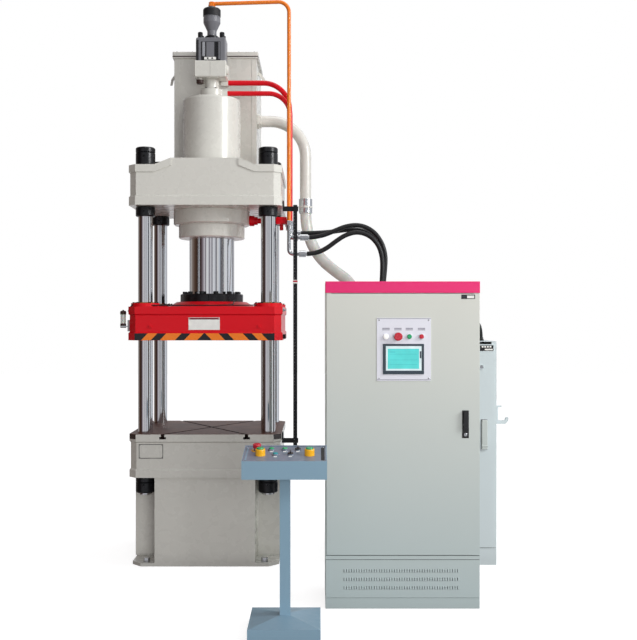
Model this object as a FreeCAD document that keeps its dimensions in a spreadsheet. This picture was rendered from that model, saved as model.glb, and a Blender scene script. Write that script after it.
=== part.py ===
import FreeCAD, Part
import Sketcher
import math
import os
import re

# Four-column hydraulic press with its overhead oil tank, power unit, electric cabinets and desk.
# The frame: origin on the floor under the ram axis, +Z up, the operator stands at -Y.

SIZES = {
    # clearances; a cutting tool runs past its work by the overrun
    "seat_gap": 0.2, "run_gap": 0.4, "door_seat": 0.5, "overrun": 2,
    # columns and their nuts
    "column_radius": 45, "column_x": 380, "column_y": 280, "spigot_radius": 40,
    "spigot_edge": 3, "nut_radius": 60, "nut_chamfer": 6, "top_nut_height": 119,
    "collar_nut_height": 61, "bed_nut_height": 106, "stud_overhang": 12, "tommy_radius": 7,
    "tommy_depth": 12, "nut_groove": 4, "top_groove_lift": 86, "bed_groove_drop": 40,
    # base frame
    "base_height": 541, "base_depth": 774, "base_block_width": 612, "base_arm_width": 920,
    "base_arm_depth": 360, "frame_wall": 20, "floor_plate": 20, "floor_plate_width": 900,
    "floor_plate_corner": 60, "anchor_x": 361, "anchor_y": 338, "anchor_radius": 14,
    # bed
    "bed_height": 264, "bed_width": 930, "press_depth": 800, "corner_cut": 47,
    "bed_top_band": 44, "bed_low_band": 45, "face_recess": 8, "slot_neck": 18, "slot_foot": 34,
    "slot_neck_depth": 16, "slot_depth": 30, "slot_exit_x": 255,
    # platen
    "platen_rest": 1376, "platen_height": 206, "platen_width": 944, "platen_band": 45,
    "hazard_band": 44, "ear_height": 22, "ear_radius": 88, "boss_height": 34, "boss_radius": 225,
    "boss_flare": 60, "boss_root": 10, "bush_wall": 10, "bush_lip": 5, "bush_lip_reach": 12,
    "bush_lift": 2,
    # crosshead
    "crosshead_rest": 2200, "crosshead_height": 247, "crosshead_width": 938,
    "crosshead_rise": 40, "rise_foot": 305, "rise_head": 205, "head_band": 45, "head_low_band": 52,
    # cylinder and ram
    "barrel_radius": 185, "barrel_seat_radius": 175, "barrel_rise": 725, "barrel_edge": 14,
    "barrel_soft": 4, "bore_radius": 155, "head_thickness": 70, "prefill_bore": 40,
    "lock_height": 90, "lock_radius": 245, "lock_edge": 8, "gland_radius": 212,
    "gland_height": 85, "gland_edge": 6, "gland_spigot": 24, "rod_radius": 145,
    "rod_spigot_radius": 100, "piston_height": 90, "piston_nut_height": 20,
    "piston_nut_radius": 130, "piston_rise": 288, "rod_neck_radius": 125,
    "rod_collar_height": 18, "rod_neck_height": 16, "split_flange_radius": 202,
    "split_flange_height": 50, "split_flange_edge": 4, "split_gap": 3,
    "flange_bolt_radius": 15, "flange_bolt_head": 16, "flange_shank_radius": 9.9,
    "flange_socket_radius": 7.5, "socket_depth": 8, "flange_bolt_circle": 174,
    # cylinder cap, valve block and pilot valve
    "cap_radius": 72.5, "cap_height": 67, "cap_edge": 4, "cap_neck_radius": 46,
    "cap_neck_height": 62, "cap_wall": 15, "port_size": 44, "port_reach": 56,
    "block_width": 204, "block_depth": 212, "block_height": 104, "block_edge": 5,
    "block_port_depth": 39, "plug_radius": 30, "plug_reach": 14, "plug_edge": 8, "plug_root": 5,
    "drain_radius": 14, "drain_reach": 14, "drain_x": 70, "drain_y": 60,
    "valve_width": 190, "valve_depth": 130, "valve_height": 159, "valve_edge": 6,
    "window_width": 90, "window_height": 84, "window_depth": 8, "window_lift": 40,
    "valve_bolt_x": 70, "valve_bolt_y": 40, "valve_bolt_radius": 14, "valve_bolt_height": 21,
    "solenoid_neck_radius": 30, "solenoid_neck_height": 56, "solenoid_radius": 55,
    "solenoid_taper": 53, "solenoid_height": 200, "solenoid_edge": 6, "solenoid_ring": 30,
    "solenoid_groove": 4, "groove_flank": 3, "groove_floor": 5, "pilot_nut_wall": 9,
    "pilot_nut_height": 16,
    # oil tank
    "tank_width": 550, "tank_front": 215, "tank_depth": 500, "tank_lift": 13,
    "tank_height": 769, "tank_wall": 4, "rim_width": 12, "hook_sheet": 14, "tank_hook_setback": 185,
    "lid_thickness": 31, "lid_overhang": 12, "lid_edge": 4, "filler_x": 150, "filler_setback": 330,
    "rail_width": 60, "rail_x": 150, "rail_length": 470, "rail_setback": 10,
    "gusset_thickness": 15, "gusset_drop": 230, "gusset_tip": 40,
    # pipework
    "pilot_pipe_radius": 12.5, "pilot_wall": 2, "pipe_radius": 17, "lower_pipe_radius": 16,
    "pipe_wall": 3, "pipe_drop_x": 502, "lower_pipe_shift": 6, "pilot_rise": 19,
    "upper_port_lift": -5, "lower_port_lift": 45, "pipe_pitch": 45, "upper_bend": 170, "lower_bend": 140,
    "pilot_bend": 70, "suction_radius": 38, "suction_wall": 4, "suction_x": 604,
    "suction_y": 300, "suction_lift": 351, "suction_end": 2296, "suction_bend": 240,
    "hose_radius": 15, "suction_hose_radius": 38, "conduit_radius": 11,
    "clamp_wall": 7, "clamp_cover": 70, "low_clamp_cover": 60, "clamp_lap": 26,
    "elbow_top": 2110, "elbow_end": 530, "elbow_nut_height": 24, "elbow_nut_wall": 6,
    "ferrule_radius": 21, "ferrule_step": 3, "stem_step": 7, "cross_drop": 57, "cross_lead": 20,
    "cross_valve_length": 66, "cross_valve_width": 68, "cross_valve_height": 46,
    "cross_stem_radius": 12, "cross_stem_length": 40, "cross_stem_drop": 61,
    "cross_flange_radius": 34, "cross_flange_length": 30, "cross_collar_radius": 26,
    "cross_collar_length": 24,
    # position scale
    "scale_x": 548, "scale_y": 280, "scale_width": 25, "scale_rise": 13, "scale_bottom": 690,
    "scale_thickness": 12, "bracket_sheet": 8, "bracket_height": 30, "bracket_lead": 6,
    "upright_width": 60, "upright_height": 50, "upright_lift": 15, "head_bracket_drop": 25,
    "bed_bracket_drop": 67,
    # power unit behind the cabinet
    "unit_x": 945, "skid_width": 360, "skid_depth": 660, "skid_height": 100, "skid_wall": 8,
    "skid_rail": 60, "shaft_level": 300, "motor_front": 20, "motor_radius": 125,
    "motor_length": 300, "cowl_step": 6, "cowl_length": 60, "cowl_lap": 40, "cradle_y": 170,
    "cradle_length": 200, "terminal_y": 150, "terminal_width": 120, "terminal_depth": 110,
    "terminal_height": 70, "terminal_sink": 20, "pump_radius": 70, "pump_length": 150,
    "bell_length": 60, "bell_step": 25, "riser_y": 112, "riser_top": 640, "riser_step": 1,
    "delivery_radius": 25, "delivery_reach": 12, "gallery_x": 1095, "gallery_top": 620,
    "gallery_height": 140, "gallery_width": 60, "gallery_front": 140, "gallery_depth": 220,
    "gallery_pipe_radius": 14, "gallery_bend": 55, "gallery_post_width": 40,
    "gallery_post_depth": 60, "gallery_post_y": 20,
    # main cabinet
    "cabinet_left": 728, "cabinet_width": 802, "cabinet_front": 1236, "cabinet_depth": 400,
    "cabinet_height": 1700, "sheet": 2.5, "flange_width": 30, "header_height": 60,
    "trim_depth": 8, "sill_setback": 1.5, "sill_gap": 2, "door_sheet": 5, "door_bottom": 280,
    "door_side": 5, "door_gap": 3, "pivot_radius": 1.5, "pivot_gap": 0.3, "plinth_height": 57,
    "vent_top": 254, "stiffener_inset": 120, "stiffener_width": 40, "stiffener_depth": 18,
    "plate_inset": 267, "plate_width": 280, "plate_drop": 189, "plate_height": 326,
    "plate_sheet": 3, "screen_inset": 32, "screen_width": 211, "screen_lift": 35,
    "screen_height": 155, "screen_depth": 42, "screen_lap": 4, "bezel_proud": 6,
    "bezel_side": 15, "bezel_other_side": 12, "bezel_low": 18, "bezel_high": 8,
    "glass_depth": 1.5, "lamp_lift": 229, "lamp_inset": 47, "stop_inset": 109, "go_inset": 168,
    "halt_inset": 231, "lamp_radius": 15, "lamp_proud": 9, "lever_inset": 75, "lever_level": 959,
    "lever_off": 12.5, "lever_thickness": 12, "lever_edge": 3, "lever_width": 28,
    "lever_height": 96, "lever_tail": 24, "hub_radius": 9, "hub_length": 18, "foot_radius": 8,
    # pushes, rings and knobs
    "push_hole": 11.3, "push_root": 24, "push_radius": 12, "push_head": 8, "push_proud": 13,
    "push_stem": 9, "mushroom_radius": 21.5, "desk_mushroom_radius": 20, "mushroom_head": 18,
    "mushroom_proud": 34, "desk_mushroom_proud": 33, "mushroom_stem": 11, "ring_bore": 12.6,
    "ring_radius": 15, "ring_proud": 8, "stop_ring_radius": 17, "stop_ring_proud": 9,
    "desk_stop_ring": 16, "knob_ring_proud": 5, "knob_radius": 14.5, "knob_low": 5.5,
    "knob_rim": 8, "knob_top": 10, "blade_width": 7, "blade_length": 25, "blade_height": 11,
    "hand_radius": 17, "hand_head": 12, "hand_proud": 38, "shroud_bore": 18,
    "shroud_radius": 24, "shroud_height": 32,
    # rear cabinet
    "rear_left": 1182, "rear_width": 600, "rear_front": 356, "rear_depth": 400,
    "rear_height": 1369, "rear_plinth": 105, "rear_door_side": 3, "rear_door_trim": 16,
    "rear_door_top": 17, "rear_rib_inset": 80, "rear_handle_inset": 76,
    "rear_handle_level": 800, "rear_grip_width": 36, "rear_grip_height": 180,
    "rear_hub_drop": 70, "hook_level": 859, "hook_setback": 70, "hook_width": 22,
    # operator desk
    "desk_x": 532, "desk_y": 1614, "desk_width": 400, "desk_depth": 250, "desk_bottom": 759,
    "desk_front_height": 82, "desk_rear_height": 124, "desk_sheet": 3, "panel_sink": 4,
    "panel_rim": 9, "panel_sheet": 5, "foot_width": 340, "foot_depth": 350, "foot_rim": 70,
    "foot_peak": 92, "foot_wall": 6, "post_size": 50, "post_collar": 4, "desk_floor": 4,
    "hand_left": 118, "hand_right": 117, "hand_row": 17, "far_row": 62, "stop_left": 138,
    "stop_row": 54, "pump_left": 68, "return_left": 3, "jog_left": 45, "mode_right": 26,
    "mode_row": 12, "speed_right": 60,
}

# sizes that follow from the others
SIZES.update({
    "bed_top": "=base_height + bed_height",
    "crosshead_top": "=crosshead_rest + crosshead_height",
    "barrel_bottom": "=crosshead_rest - lock_height",
    "barrel_top": "=crosshead_rest + barrel_rise",
    "piston_rest": "=crosshead_rest + piston_rise",
    "cap_top": "=barrel_top + cap_height",
    "block_low": "=cap_top + cap_neck_height",
    "valve_low": "=block_low + block_height",
    "solenoid_low": "=valve_low + valve_height",
    "pilot_low": "=solenoid_low + solenoid_height + pilot_nut_height",
    "pilot_top": "=pilot_low + pilot_rise",
    "upper_pipe_level": "=block_low + upper_port_lift",
    "lower_pipe_level": "=barrel_top + lower_port_lift",
    "cross_level": "=crosshead_rest - cross_drop",
    "tank_seat": "=crosshead_top + crosshead_rise",
    "tank_bottom": "=tank_seat + tank_lift",
    "tank_top": "=tank_bottom + tank_height",
    "tank_middle": "=tank_front + tank_depth / 2",
    "suction_level": "=tank_bottom + suction_lift",
    "lower_drop_x": "=pipe_drop_x + lower_pipe_shift",
    "scale_top": "=crosshead_rest + scale_rise",
    "plate_left": "=cabinet_left + plate_inset",
    "plate_bottom": "=cabinet_height - plate_drop - plate_height",
    "screen_left": "=plate_left + screen_inset",
    "screen_bottom": "=plate_bottom + screen_lift",
    "lamp_row": "=plate_bottom + lamp_lift",
    "lamp_x": "=plate_left + lamp_inset",
    "stop_x": "=plate_left + stop_inset",
    "go_x": "=plate_left + go_inset",
    "halt_x": "=plate_left + halt_inset",
    "lever_x": "=cabinet_left + cabinet_width - lever_inset",
    "rear_right": "=rear_left + rear_width",
    "rear_handle_x": "=rear_right - rear_handle_inset",
    "desk_rise": "=(desk_rear_height - desk_front_height) / desk_depth",
})

FLANGE_BOLTS = 12
# the filler cap's half section: radius and height over the lid
FILLER = [(0, 0), (42, 0), (42, 26), (50, 28), (50, 62), (44, 68), (0, 68)]
# a lifting hook of the tank: reach from the tank's side and drop below its top
TANK_HOOK = [(-1, 58), (22, 72), (48, 108), (56, 150), (42, 150), (34, 116), (12, 88), (-1, 80)]
# the rear cabinet's side hook: reach from the cabinet's side and height over its foot
SIDE_HOOK = [(-1, 0), (62, 0), (81, 19), (81, 41), (69, 41), (60, 21), (18, 21), (18, 103),
             (40, 103), (40, 112), (-1, 112)]

doc = FreeCAD.newDocument("Press")
sheet = doc.addObject("Spreadsheet::Sheet", "Sizes")
for row, (alias, value) in enumerate(SIZES.items(), start=1):
    sheet.set("A%d" % row, alias)
    sheet.set("B%d" % row, str(value))
    sheet.setAlias("B%d" % row, alias)
doc.recompute()

NODES = []


def formula(text):
    """Point each size's word at its spreadsheet cell."""
    return re.sub(r"[a-z]\w*", lambda word: refer(word.group(0)), str(text))


def refer(word):
    """The spreadsheet's name for a size, or the word itself."""
    return "Sizes." + word if word in SIZES else word


def number(text):
    """The value of an expression in millimetres, from the sheet."""
    item = doc.addObject("App::FeaturePython", "Reckon")
    item.addProperty("App::PropertyFloat", "Value")
    item.setExpression("Value", formula(text))
    item.recompute()
    value = item.Value
    doc.removeObject(item.Name)
    return value


def bind(item, **values):
    """Drive properties by expressions."""
    for name, text in values.items():
        item.setExpression(name, formula(text))
    return item


def put(item, x=0, y=0, z=0, axis=None, angle=0):
    """Place an object: its base by expressions, its turn about an axis in degrees."""
    if axis:
        turn = FreeCAD.Rotation(FreeCAD.Vector(*axis), angle)
        item.Placement = FreeCAD.Placement(FreeCAD.Vector(), turn)
    for letter, text in zip("xyz", (x, y, z)):
        item.setExpression("Placement.Base." + letter, formula(text))
    return item


def box(x, y, z, length, width, height):
    """A box from its low corner and its three sizes."""
    item = doc.addObject("Part::Box", "Box")
    return put(bind(item, Length=length, Width=width, Height=height), x, y, z)


def block(cx, cy, z, length, width, height):
    """A box centred in X and Y."""
    left = "%s - (%s) / 2" % (cx, length)
    front = "%s - (%s) / 2" % (cy, width)
    return box(left, front, z, length, width, height)


AXES = {"Z": (None, 0), "X": ((0, 1, 0), 90), "Y": ((1, 0, 0), -90)}


def rod(radius, length, x, y, z, along="Z"):
    """A round bar that starts at a point and runs along +X, +Y or +Z."""
    item = doc.addObject("Part::Cylinder", "Rod")
    axis, angle = AXES[along]
    return put(bind(item, Radius=radius, Height=length), x, y, z, axis, angle)


def fuse(*items):
    """One solid out of several."""
    item = doc.addObject("Part::MultiFuse", "Joined")
    item.Shapes = list(items)
    item.Refine = True
    return item


def group(*items):
    """Separate solids that share one node."""
    item = doc.addObject("Part::Compound", "Group")
    item.Links = list(items)
    return item


def cut(base, *tools):
    """A base with tools taken out of it."""
    item = doc.addObject("Part::Cut", "Cut")
    item.Base = base
    item.Tool = tools[0] if len(tools) == 1 else fuse(*tools)
    item.Refine = True
    return item


def soften(base, size, pick):
    """Chamfer the edges that a test picks."""
    doc.recompute()
    item = doc.addObject("Part::Chamfer", "Soft")
    item.Base = base
    chosen = [n + 1 for n, edge in enumerate(base.Shape.Edges) if pick(edge)]
    item.Edges = [(n, number(size), number(size)) for n in chosen]
    return item


def node(name, item):
    """Name a finished sub-part."""
    item.Label = name
    NODES.append(item)
    return item


def origin_plane(body, role):
    """A plane of a body's own origin."""
    return [f for f in body.Origin.OriginFeatures if f.Role == role][0]


def draw(sketch, points):
    """A closed outline whose corners are held by bound distances from the origin."""
    places = [(number(a), number(b)) for a, b in points]
    for n, here in enumerate(places):
        there = places[(n + 1) % len(places)]
        line = Part.LineSegment(FreeCAD.Vector(*here, 0), FreeCAD.Vector(*there, 0))
        sketch.addGeometry(line, False)
    count = len(places)
    for n in range(count):
        sketch.addConstraint(Sketcher.Constraint("Coincident", n, 2, (n + 1) % count, 1))
    for n, (across, up) in enumerate(points):
        for kind, text, value in (("DistanceX", across, places[n][0]), ("DistanceY", up, places[n][1])):
            row = sketch.addConstraint(Sketcher.Constraint(kind, -1, 1, n, 1, value))
            sketch.setExpression("Constraints[%d]" % row, formula(text))


def outline(body, role, points):
    """A sketch of one closed outline on a body's origin plane."""
    sketch = body.newObject("Sketcher::SketchObject", "Outline")
    sketch.AttachmentSupport = [(origin_plane(body, role), "")]
    sketch.MapMode = "FlatFace"
    draw(sketch, points)
    return sketch


def turned(points, x=0, y=0, z=0):
    """A turned piece: its half section, as radius and height, spun about its own axis."""
    body = doc.addObject("PartDesign::Body", "Turned")
    sketch = outline(body, "XZ_Plane", points)
    spin = body.newObject("PartDesign::Revolution", "Spin")
    spin.Profile = sketch
    spin.ReferenceAxis = (sketch, ["V_Axis"])
    spin.Angle = 360
    return put(body, x, y, z)


def plate(points, thickness, x=0, y=0, z=0, role="XY_Plane"):
    """A padded outline; on the XZ plane it grows towards -Y, on the YZ plane towards +X."""
    body = doc.addObject("PartDesign::Body", "Plate")
    pad = body.newObject("PartDesign::Pad", "Pad")
    pad.Profile = outline(body, role, points)
    bind(pad, Length=thickness)
    return put(body, x, y, z)


def cut_corners(length, width, corner):
    """The outline of a rectangle with its corners cut off, centred on the axis."""
    x, y = "(%s) / 2" % length, "(%s) / 2" % width
    inner_x, inner_y = "%s - %s" % (x, corner), "%s - %s" % (y, corner)
    return [("-(%s)" % inner_x, "-" + y), (inner_x, "-" + y), (x, "-(%s)" % inner_y),
            (x, inner_y), (inner_x, y), ("-(%s)" % inner_x, y), ("-" + x, inner_y),
            ("-" + x, "-(%s)" % inner_y)]


def corners():
    """The four column places with their names."""
    for y_sign, depth in (("-", "front"), ("", "rear")):
        for x_sign, side in (("-", "left"), ("", "right")):
            yield depth + "_" + side, x_sign + "column_x", y_sign + "column_y"


def column_bores(radius, z, height):
    """Four bores for the columns."""
    return [rod(radius, height, x, y, z) for _, x, y in corners()]


def core_outline(length, width):
    """The outline of a block's set-back middle: every side moved in by the face recess."""
    return cut_corners("(%s - 2 * face_recess)" % length, "(%s - 2 * face_recess)" % width,
                       "(corner_cut - face_recess * (2 - sqrt(2)))")


def flare(length, z, up):
    """A band's sloped edge, from its full outline in to the set-back middle."""
    body = plate(cut_corners(length, "press_depth", "corner_cut"), "face_recess")
    body.Tip.TaperAngle = -45
    return put(body, z=z) if up else put(body, z=z, axis=(1, 0, 0), angle=180)


def banded(length, z, height, low_band, high_band):
    """A block with cut corners whose sides are set back between a low and a high band."""
    outline_points = cut_corners(length, "press_depth", "corner_cut")
    top = "%s + %s" % (z, height)
    return fuse(plate(core_outline(length, "press_depth"), height, z=z),
                plate(outline_points, low_band, z=z), flare(length, "%s + %s" % (z, low_band), True),
                plate(outline_points, high_band, z="%s - %s" % (top, high_band)),
                flare(length, "%s - %s" % (top, high_band), False))


def route_edges(points, radii):
    """Straight runs joined by tangent arcs, one radius for each inner point."""
    edges = []
    start = points[0]
    for n in range(1, len(points) - 1):
        back = (points[n - 1] - points[n]).normalize()
        ahead = (points[n + 1] - points[n]).normalize()
        half_turn = (math.pi - back.getAngle(ahead)) / 2
        reach = radii[n - 1] * math.tan(half_turn)
        enter = points[n] + back * reach
        leave = points[n] + ahead * reach
        inward = (back + ahead).normalize()
        centre = points[n] + inward * (radii[n - 1] / math.cos(half_turn))
        middle = centre - inward * radii[n - 1]
        if (enter - start).Length > 0.001:
            edges.append(Part.LineSegment(start, enter).toShape())
        edges.append(Part.Arc(enter, middle, leave).toShape())
        start = leave
    edges.append(Part.LineSegment(start, points[-1]).toShape())
    return edges


def tube_shape(points, radii, radius, wall=0):
    """A round tube along a route, hollow where a wall is given, and its centre line's length."""
    spine = Part.Wire(route_edges(points, radii))
    heading = (points[1] - points[0]).normalize()
    shape = None
    for size in (radius, radius - wall):
        ring = Part.Wire(Part.Circle(points[0], heading, size).toShape())
        swept = spine.makePipeShell([ring], True, False)
        shape = swept if shape is None else shape.cut(swept)
        if not wall:
            break
    return shape, spine.Length


def rigid_pipe(route, bends, radius, wall):
    """A bent steel pipe; the route and the bends are expressions."""
    points = [FreeCAD.Vector(*[number(value) for value in point]) for point in route]
    shape, _ = tube_shape(points, [number(bend) for bend in bends], number(radius), number(wall))
    item = doc.addObject("Part::Feature", "Pipe")
    item.Shape = shape
    return item


def hose(name, points, radius):
    """A flexible hose: each bend is as large as its two runs allow."""
    points = [FreeCAD.Vector(*point) for point in points]
    size = number(radius)
    radii = []
    for n in range(1, len(points) - 1):
        back, ahead = points[n - 1] - points[n], points[n + 1] - points[n]
        half_turn = (math.pi - back.getAngle(ahead)) / 2
        radii.append(0.45 * min(back.Length, ahead.Length) / math.tan(half_turn))
    shape, length = tube_shape(points, radii, size)
    item = doc.addObject("Part::Feature", "Hose")
    item.Shape = shape
    share = shape.Volume / (math.pi * size * size * length)
    print("%s: %.0f mm long, volume share %.4f, radii %s"
          % (name, length, share, [round(value) for value in radii]))
    return node(name, item)


# --- base frame, bed and columns ------------------------------------------------------------

def cross_outline(inset):
    """The plan of the base: a block with an arm on each side, set in by a wall."""
    block_x, block_y = "(base_block_width / 2 - %s)" % inset, "(base_depth / 2 - %s)" % inset
    arm_x, arm_y = "(base_arm_width / 2 - %s)" % inset, "(base_arm_depth / 2 - %s)" % inset
    points = []
    for sx, sy in (("", ""), ("-", ""), ("-", "-"), ("", "-")):
        corner = [(sx + arm_x, sy + arm_y), (sx + block_x, sy + arm_y), (sx + block_x, sy + block_y)]
        points += corner if sx == sy else corner[::-1]
    return points


def make_base():
    wall = "base_height - floor_plate"
    outer = plate(cross_outline("0"), wall, z="floor_plate")
    inner = plate(cross_outline("frame_wall"), "%s - frame_wall" % wall, z="floor_plate")
    foot = plate(cut_corners("floor_plate_width", "base_depth", "floor_plate_corner"), "floor_plate")
    holes = [rod("anchor_radius", "floor_plate + 2 * overrun", sx + "anchor_x", sy + "anchor_y", "-overrun")
             for sx in ("", "-") for sy in ("", "-")]
    node("base_frame", cut(fuse(outer, foot), inner, *holes))


def make_bed():
    raw = banded("bed_width", "base_height", "bed_height", "bed_low_band", "bed_top_band")
    angle = math.degrees(math.atan2(number("press_depth / 2"), number("slot_exit_x")))
    lift = FreeCAD.Vector(0, 0, number("bed_top - slot_depth"))
    slots = []
    for turn in (angle, 180 - angle):
        for width, height in (("slot_neck", "slot_depth + overrun"),
                              ("slot_foot", "slot_depth - slot_neck_depth")):
            shape = doc.addObject("Part::Box", "Slot")
            bind(shape, Length="bed_width + press_depth", Width=width, Height=height)
            spin = FreeCAD.Rotation(FreeCAD.Vector(0, 0, 1), turn)
            shift = FreeCAD.Vector(-number("bed_width + press_depth") / 2, -number(width) / 2, 0)
            shape.Placement = FreeCAD.Placement(lift, spin).multiply(
                FreeCAD.Placement(shift, FreeCAD.Rotation()))
            slots.append(shape)
    bores = column_bores("spigot_radius + seat_gap", "base_height - overrun", "bed_height + 2 * overrun")
    node("bed_table", cut(raw, *slots, *bores))


def column_section():
    """Half section of a column: a polished shaft with a thinner threaded end each way."""
    low = "base_height - bed_nut_height - stud_overhang"
    top = "crosshead_top + top_nut_height"
    edge = "spigot_radius - spigot_edge"
    return [("0", low), (edge, low), ("spigot_radius", low + " + spigot_edge"),
            ("spigot_radius", "bed_top"), ("column_radius", "bed_top"),
            ("column_radius", "crosshead_rest"), ("spigot_radius", "crosshead_rest"),
            ("spigot_radius", top + " - spigot_edge"), (edge, top), ("0", top)]


def nut(bore, low, height, x, y, grooves=()):
    """A round nut with chamfered rims, a tommy-bar hole on each side and optional ring grooves."""
    edge = "nut_radius - nut_chamfer"
    top = "(%s) + (%s)" % (low, height)
    section = [(bore, low), (edge, low), ("nut_radius", low + " + nut_chamfer")]
    for level in grooves:
        section += [("nut_radius", level + " - nut_groove"), ("nut_radius - nut_groove", level),
                    ("nut_radius", level + " + nut_groove")]
    section += [("nut_radius", top + " - nut_chamfer"), (edge, top), (bore, top)]
    body = turned(section, x, y)
    middle = "(%s) + (%s) / 2" % (low, height)
    deep = "tommy_depth + overrun"
    near, far = " - nut_radius - overrun", " + nut_radius - tommy_depth"
    holes = [rod("tommy_radius", deep, x + side, y, middle, "X") for side in (near, far)]
    holes += [rod("tommy_radius", deep, x, y + side, middle, "Y") for side in (near, far)]
    return cut(body, *holes)


def make_columns():
    nuts = []
    for name, x, y in corners():
        node("column_" + name, turned(column_section(), x, y))
        bore = "spigot_radius + seat_gap"
        nuts.append(nut(bore, "crosshead_top", "top_nut_height", x, y,
                        ("crosshead_top + top_groove_lift",)))
        nuts.append(nut(bore, "base_height - bed_nut_height", "bed_nut_height", x, y,
                        ("base_height - bed_groove_drop",)))
        nuts.append(nut("column_radius + seat_gap", "crosshead_rest - collar_nut_height",
                        "collar_nut_height", x, y))
    node("column_nuts", group(*nuts))


# --- crosshead and cylinder -----------------------------------------------------------------

def make_crosshead():
    height = "crosshead_height + crosshead_rise"
    full = plate(cut_corners("crosshead_width", "press_depth", "corner_cut"), height, z="crosshead_rest")
    core = plate(core_outline("crosshead_width", "press_depth"), height, z="crosshead_rest")
    high = "tank_seat + overrun"
    shoulders, edges = [], []
    for s in ("", "-"):
        side = s + "(crosshead_width / 2 + overrun)"
        foot, head = s + "rise_foot", s + "rise_head"
        above = [(side, "crosshead_top"), (foot, "crosshead_top"), (head, "tank_seat"), (head, high),
                 (side, high)]
        band = above[:2] + [(head, "tank_seat"), (head, "tank_seat - head_band"),
                            (foot, "crosshead_top - head_band"), (side, "crosshead_top - head_band")]
        for points, pieces in ((above, shoulders), (band, edges)):
            pieces.append(plate(points, "press_depth + 2 * overrun", y="press_depth / 2 + overrun",
                                role="XZ_Plane"))
    rim = doc.addObject("Part::MultiCommon", "Rim")
    rim.Shapes = [full, fuse(*edges)]
    foot = plate(cut_corners("crosshead_width", "press_depth", "corner_cut"), "head_low_band",
                 z="crosshead_rest")
    raw = cut(fuse(core, rim, foot, flare("crosshead_width", "crosshead_rest + head_low_band", True)),
              *shoulders)
    low = "crosshead_rest - overrun"
    bores = column_bores("spigot_radius + seat_gap", low, "crosshead_height + 2 * overrun")
    well = rod("barrel_seat_radius + seat_gap", "tank_seat - crosshead_rest + 2 * overrun", "0", "0", low)
    node("crosshead", cut(raw, well, *bores))


def make_cylinder():
    inner_top = "barrel_top - head_thickness"
    node("cylinder_barrel", turned([
        ("bore_radius", "barrel_bottom"), ("barrel_seat_radius", "barrel_bottom"),
        ("barrel_seat_radius", "tank_seat"), ("barrel_radius", "tank_seat"),
        ("barrel_radius", "barrel_top - barrel_edge"),
        ("barrel_radius - barrel_soft", "barrel_top - barrel_soft"),
        ("barrel_radius - barrel_edge", "barrel_top"), ("prefill_bore", "barrel_top"),
        ("prefill_bore", inner_top), ("bore_radius", inner_top)]))
    node("cylinder_lock_nut", turned([
        ("barrel_seat_radius + seat_gap", "barrel_bottom"), ("lock_radius - lock_edge", "barrel_bottom"),
        ("lock_radius", "barrel_bottom + lock_edge"), ("lock_radius", "crosshead_rest"),
        ("barrel_seat_radius + seat_gap", "crosshead_rest")]))
    low = "barrel_bottom - gland_height"
    node("gland_housing", turned([
        ("rod_radius + run_gap", low), ("gland_radius - gland_edge", low),
        ("gland_radius", low + " + gland_edge"), ("gland_radius", "barrel_bottom"),
        ("bore_radius - seat_gap", "barrel_bottom"),
        ("bore_radius - seat_gap", "barrel_bottom + gland_spigot"),
        ("rod_radius + run_gap", "barrel_bottom + gland_spigot")]))
    inner = "cap_neck_radius - cap_wall"
    cap = turned([
        (inner, "barrel_top"), ("cap_radius", "barrel_top"), ("cap_radius", "cap_top - cap_edge"),
        ("cap_radius - cap_edge", "cap_top"), ("cap_neck_radius", "cap_top"),
        ("cap_neck_radius", "block_low"), (inner, "block_low")])
    port = box("cap_neck_radius", "-port_size / 2", "lower_pipe_level - port_size / 2", "port_reach",
               "port_size", "port_size")
    bore = rod("lower_pipe_radius - pipe_wall", "port_reach + cap_wall",
               "cap_neck_radius - cap_wall + overrun", "0", "lower_pipe_level", "X")
    well = rod(inner, "cap_height", "0", "0", "barrel_top")
    node("cylinder_cap", cut(fuse(cap, port), bore, well))


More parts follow.
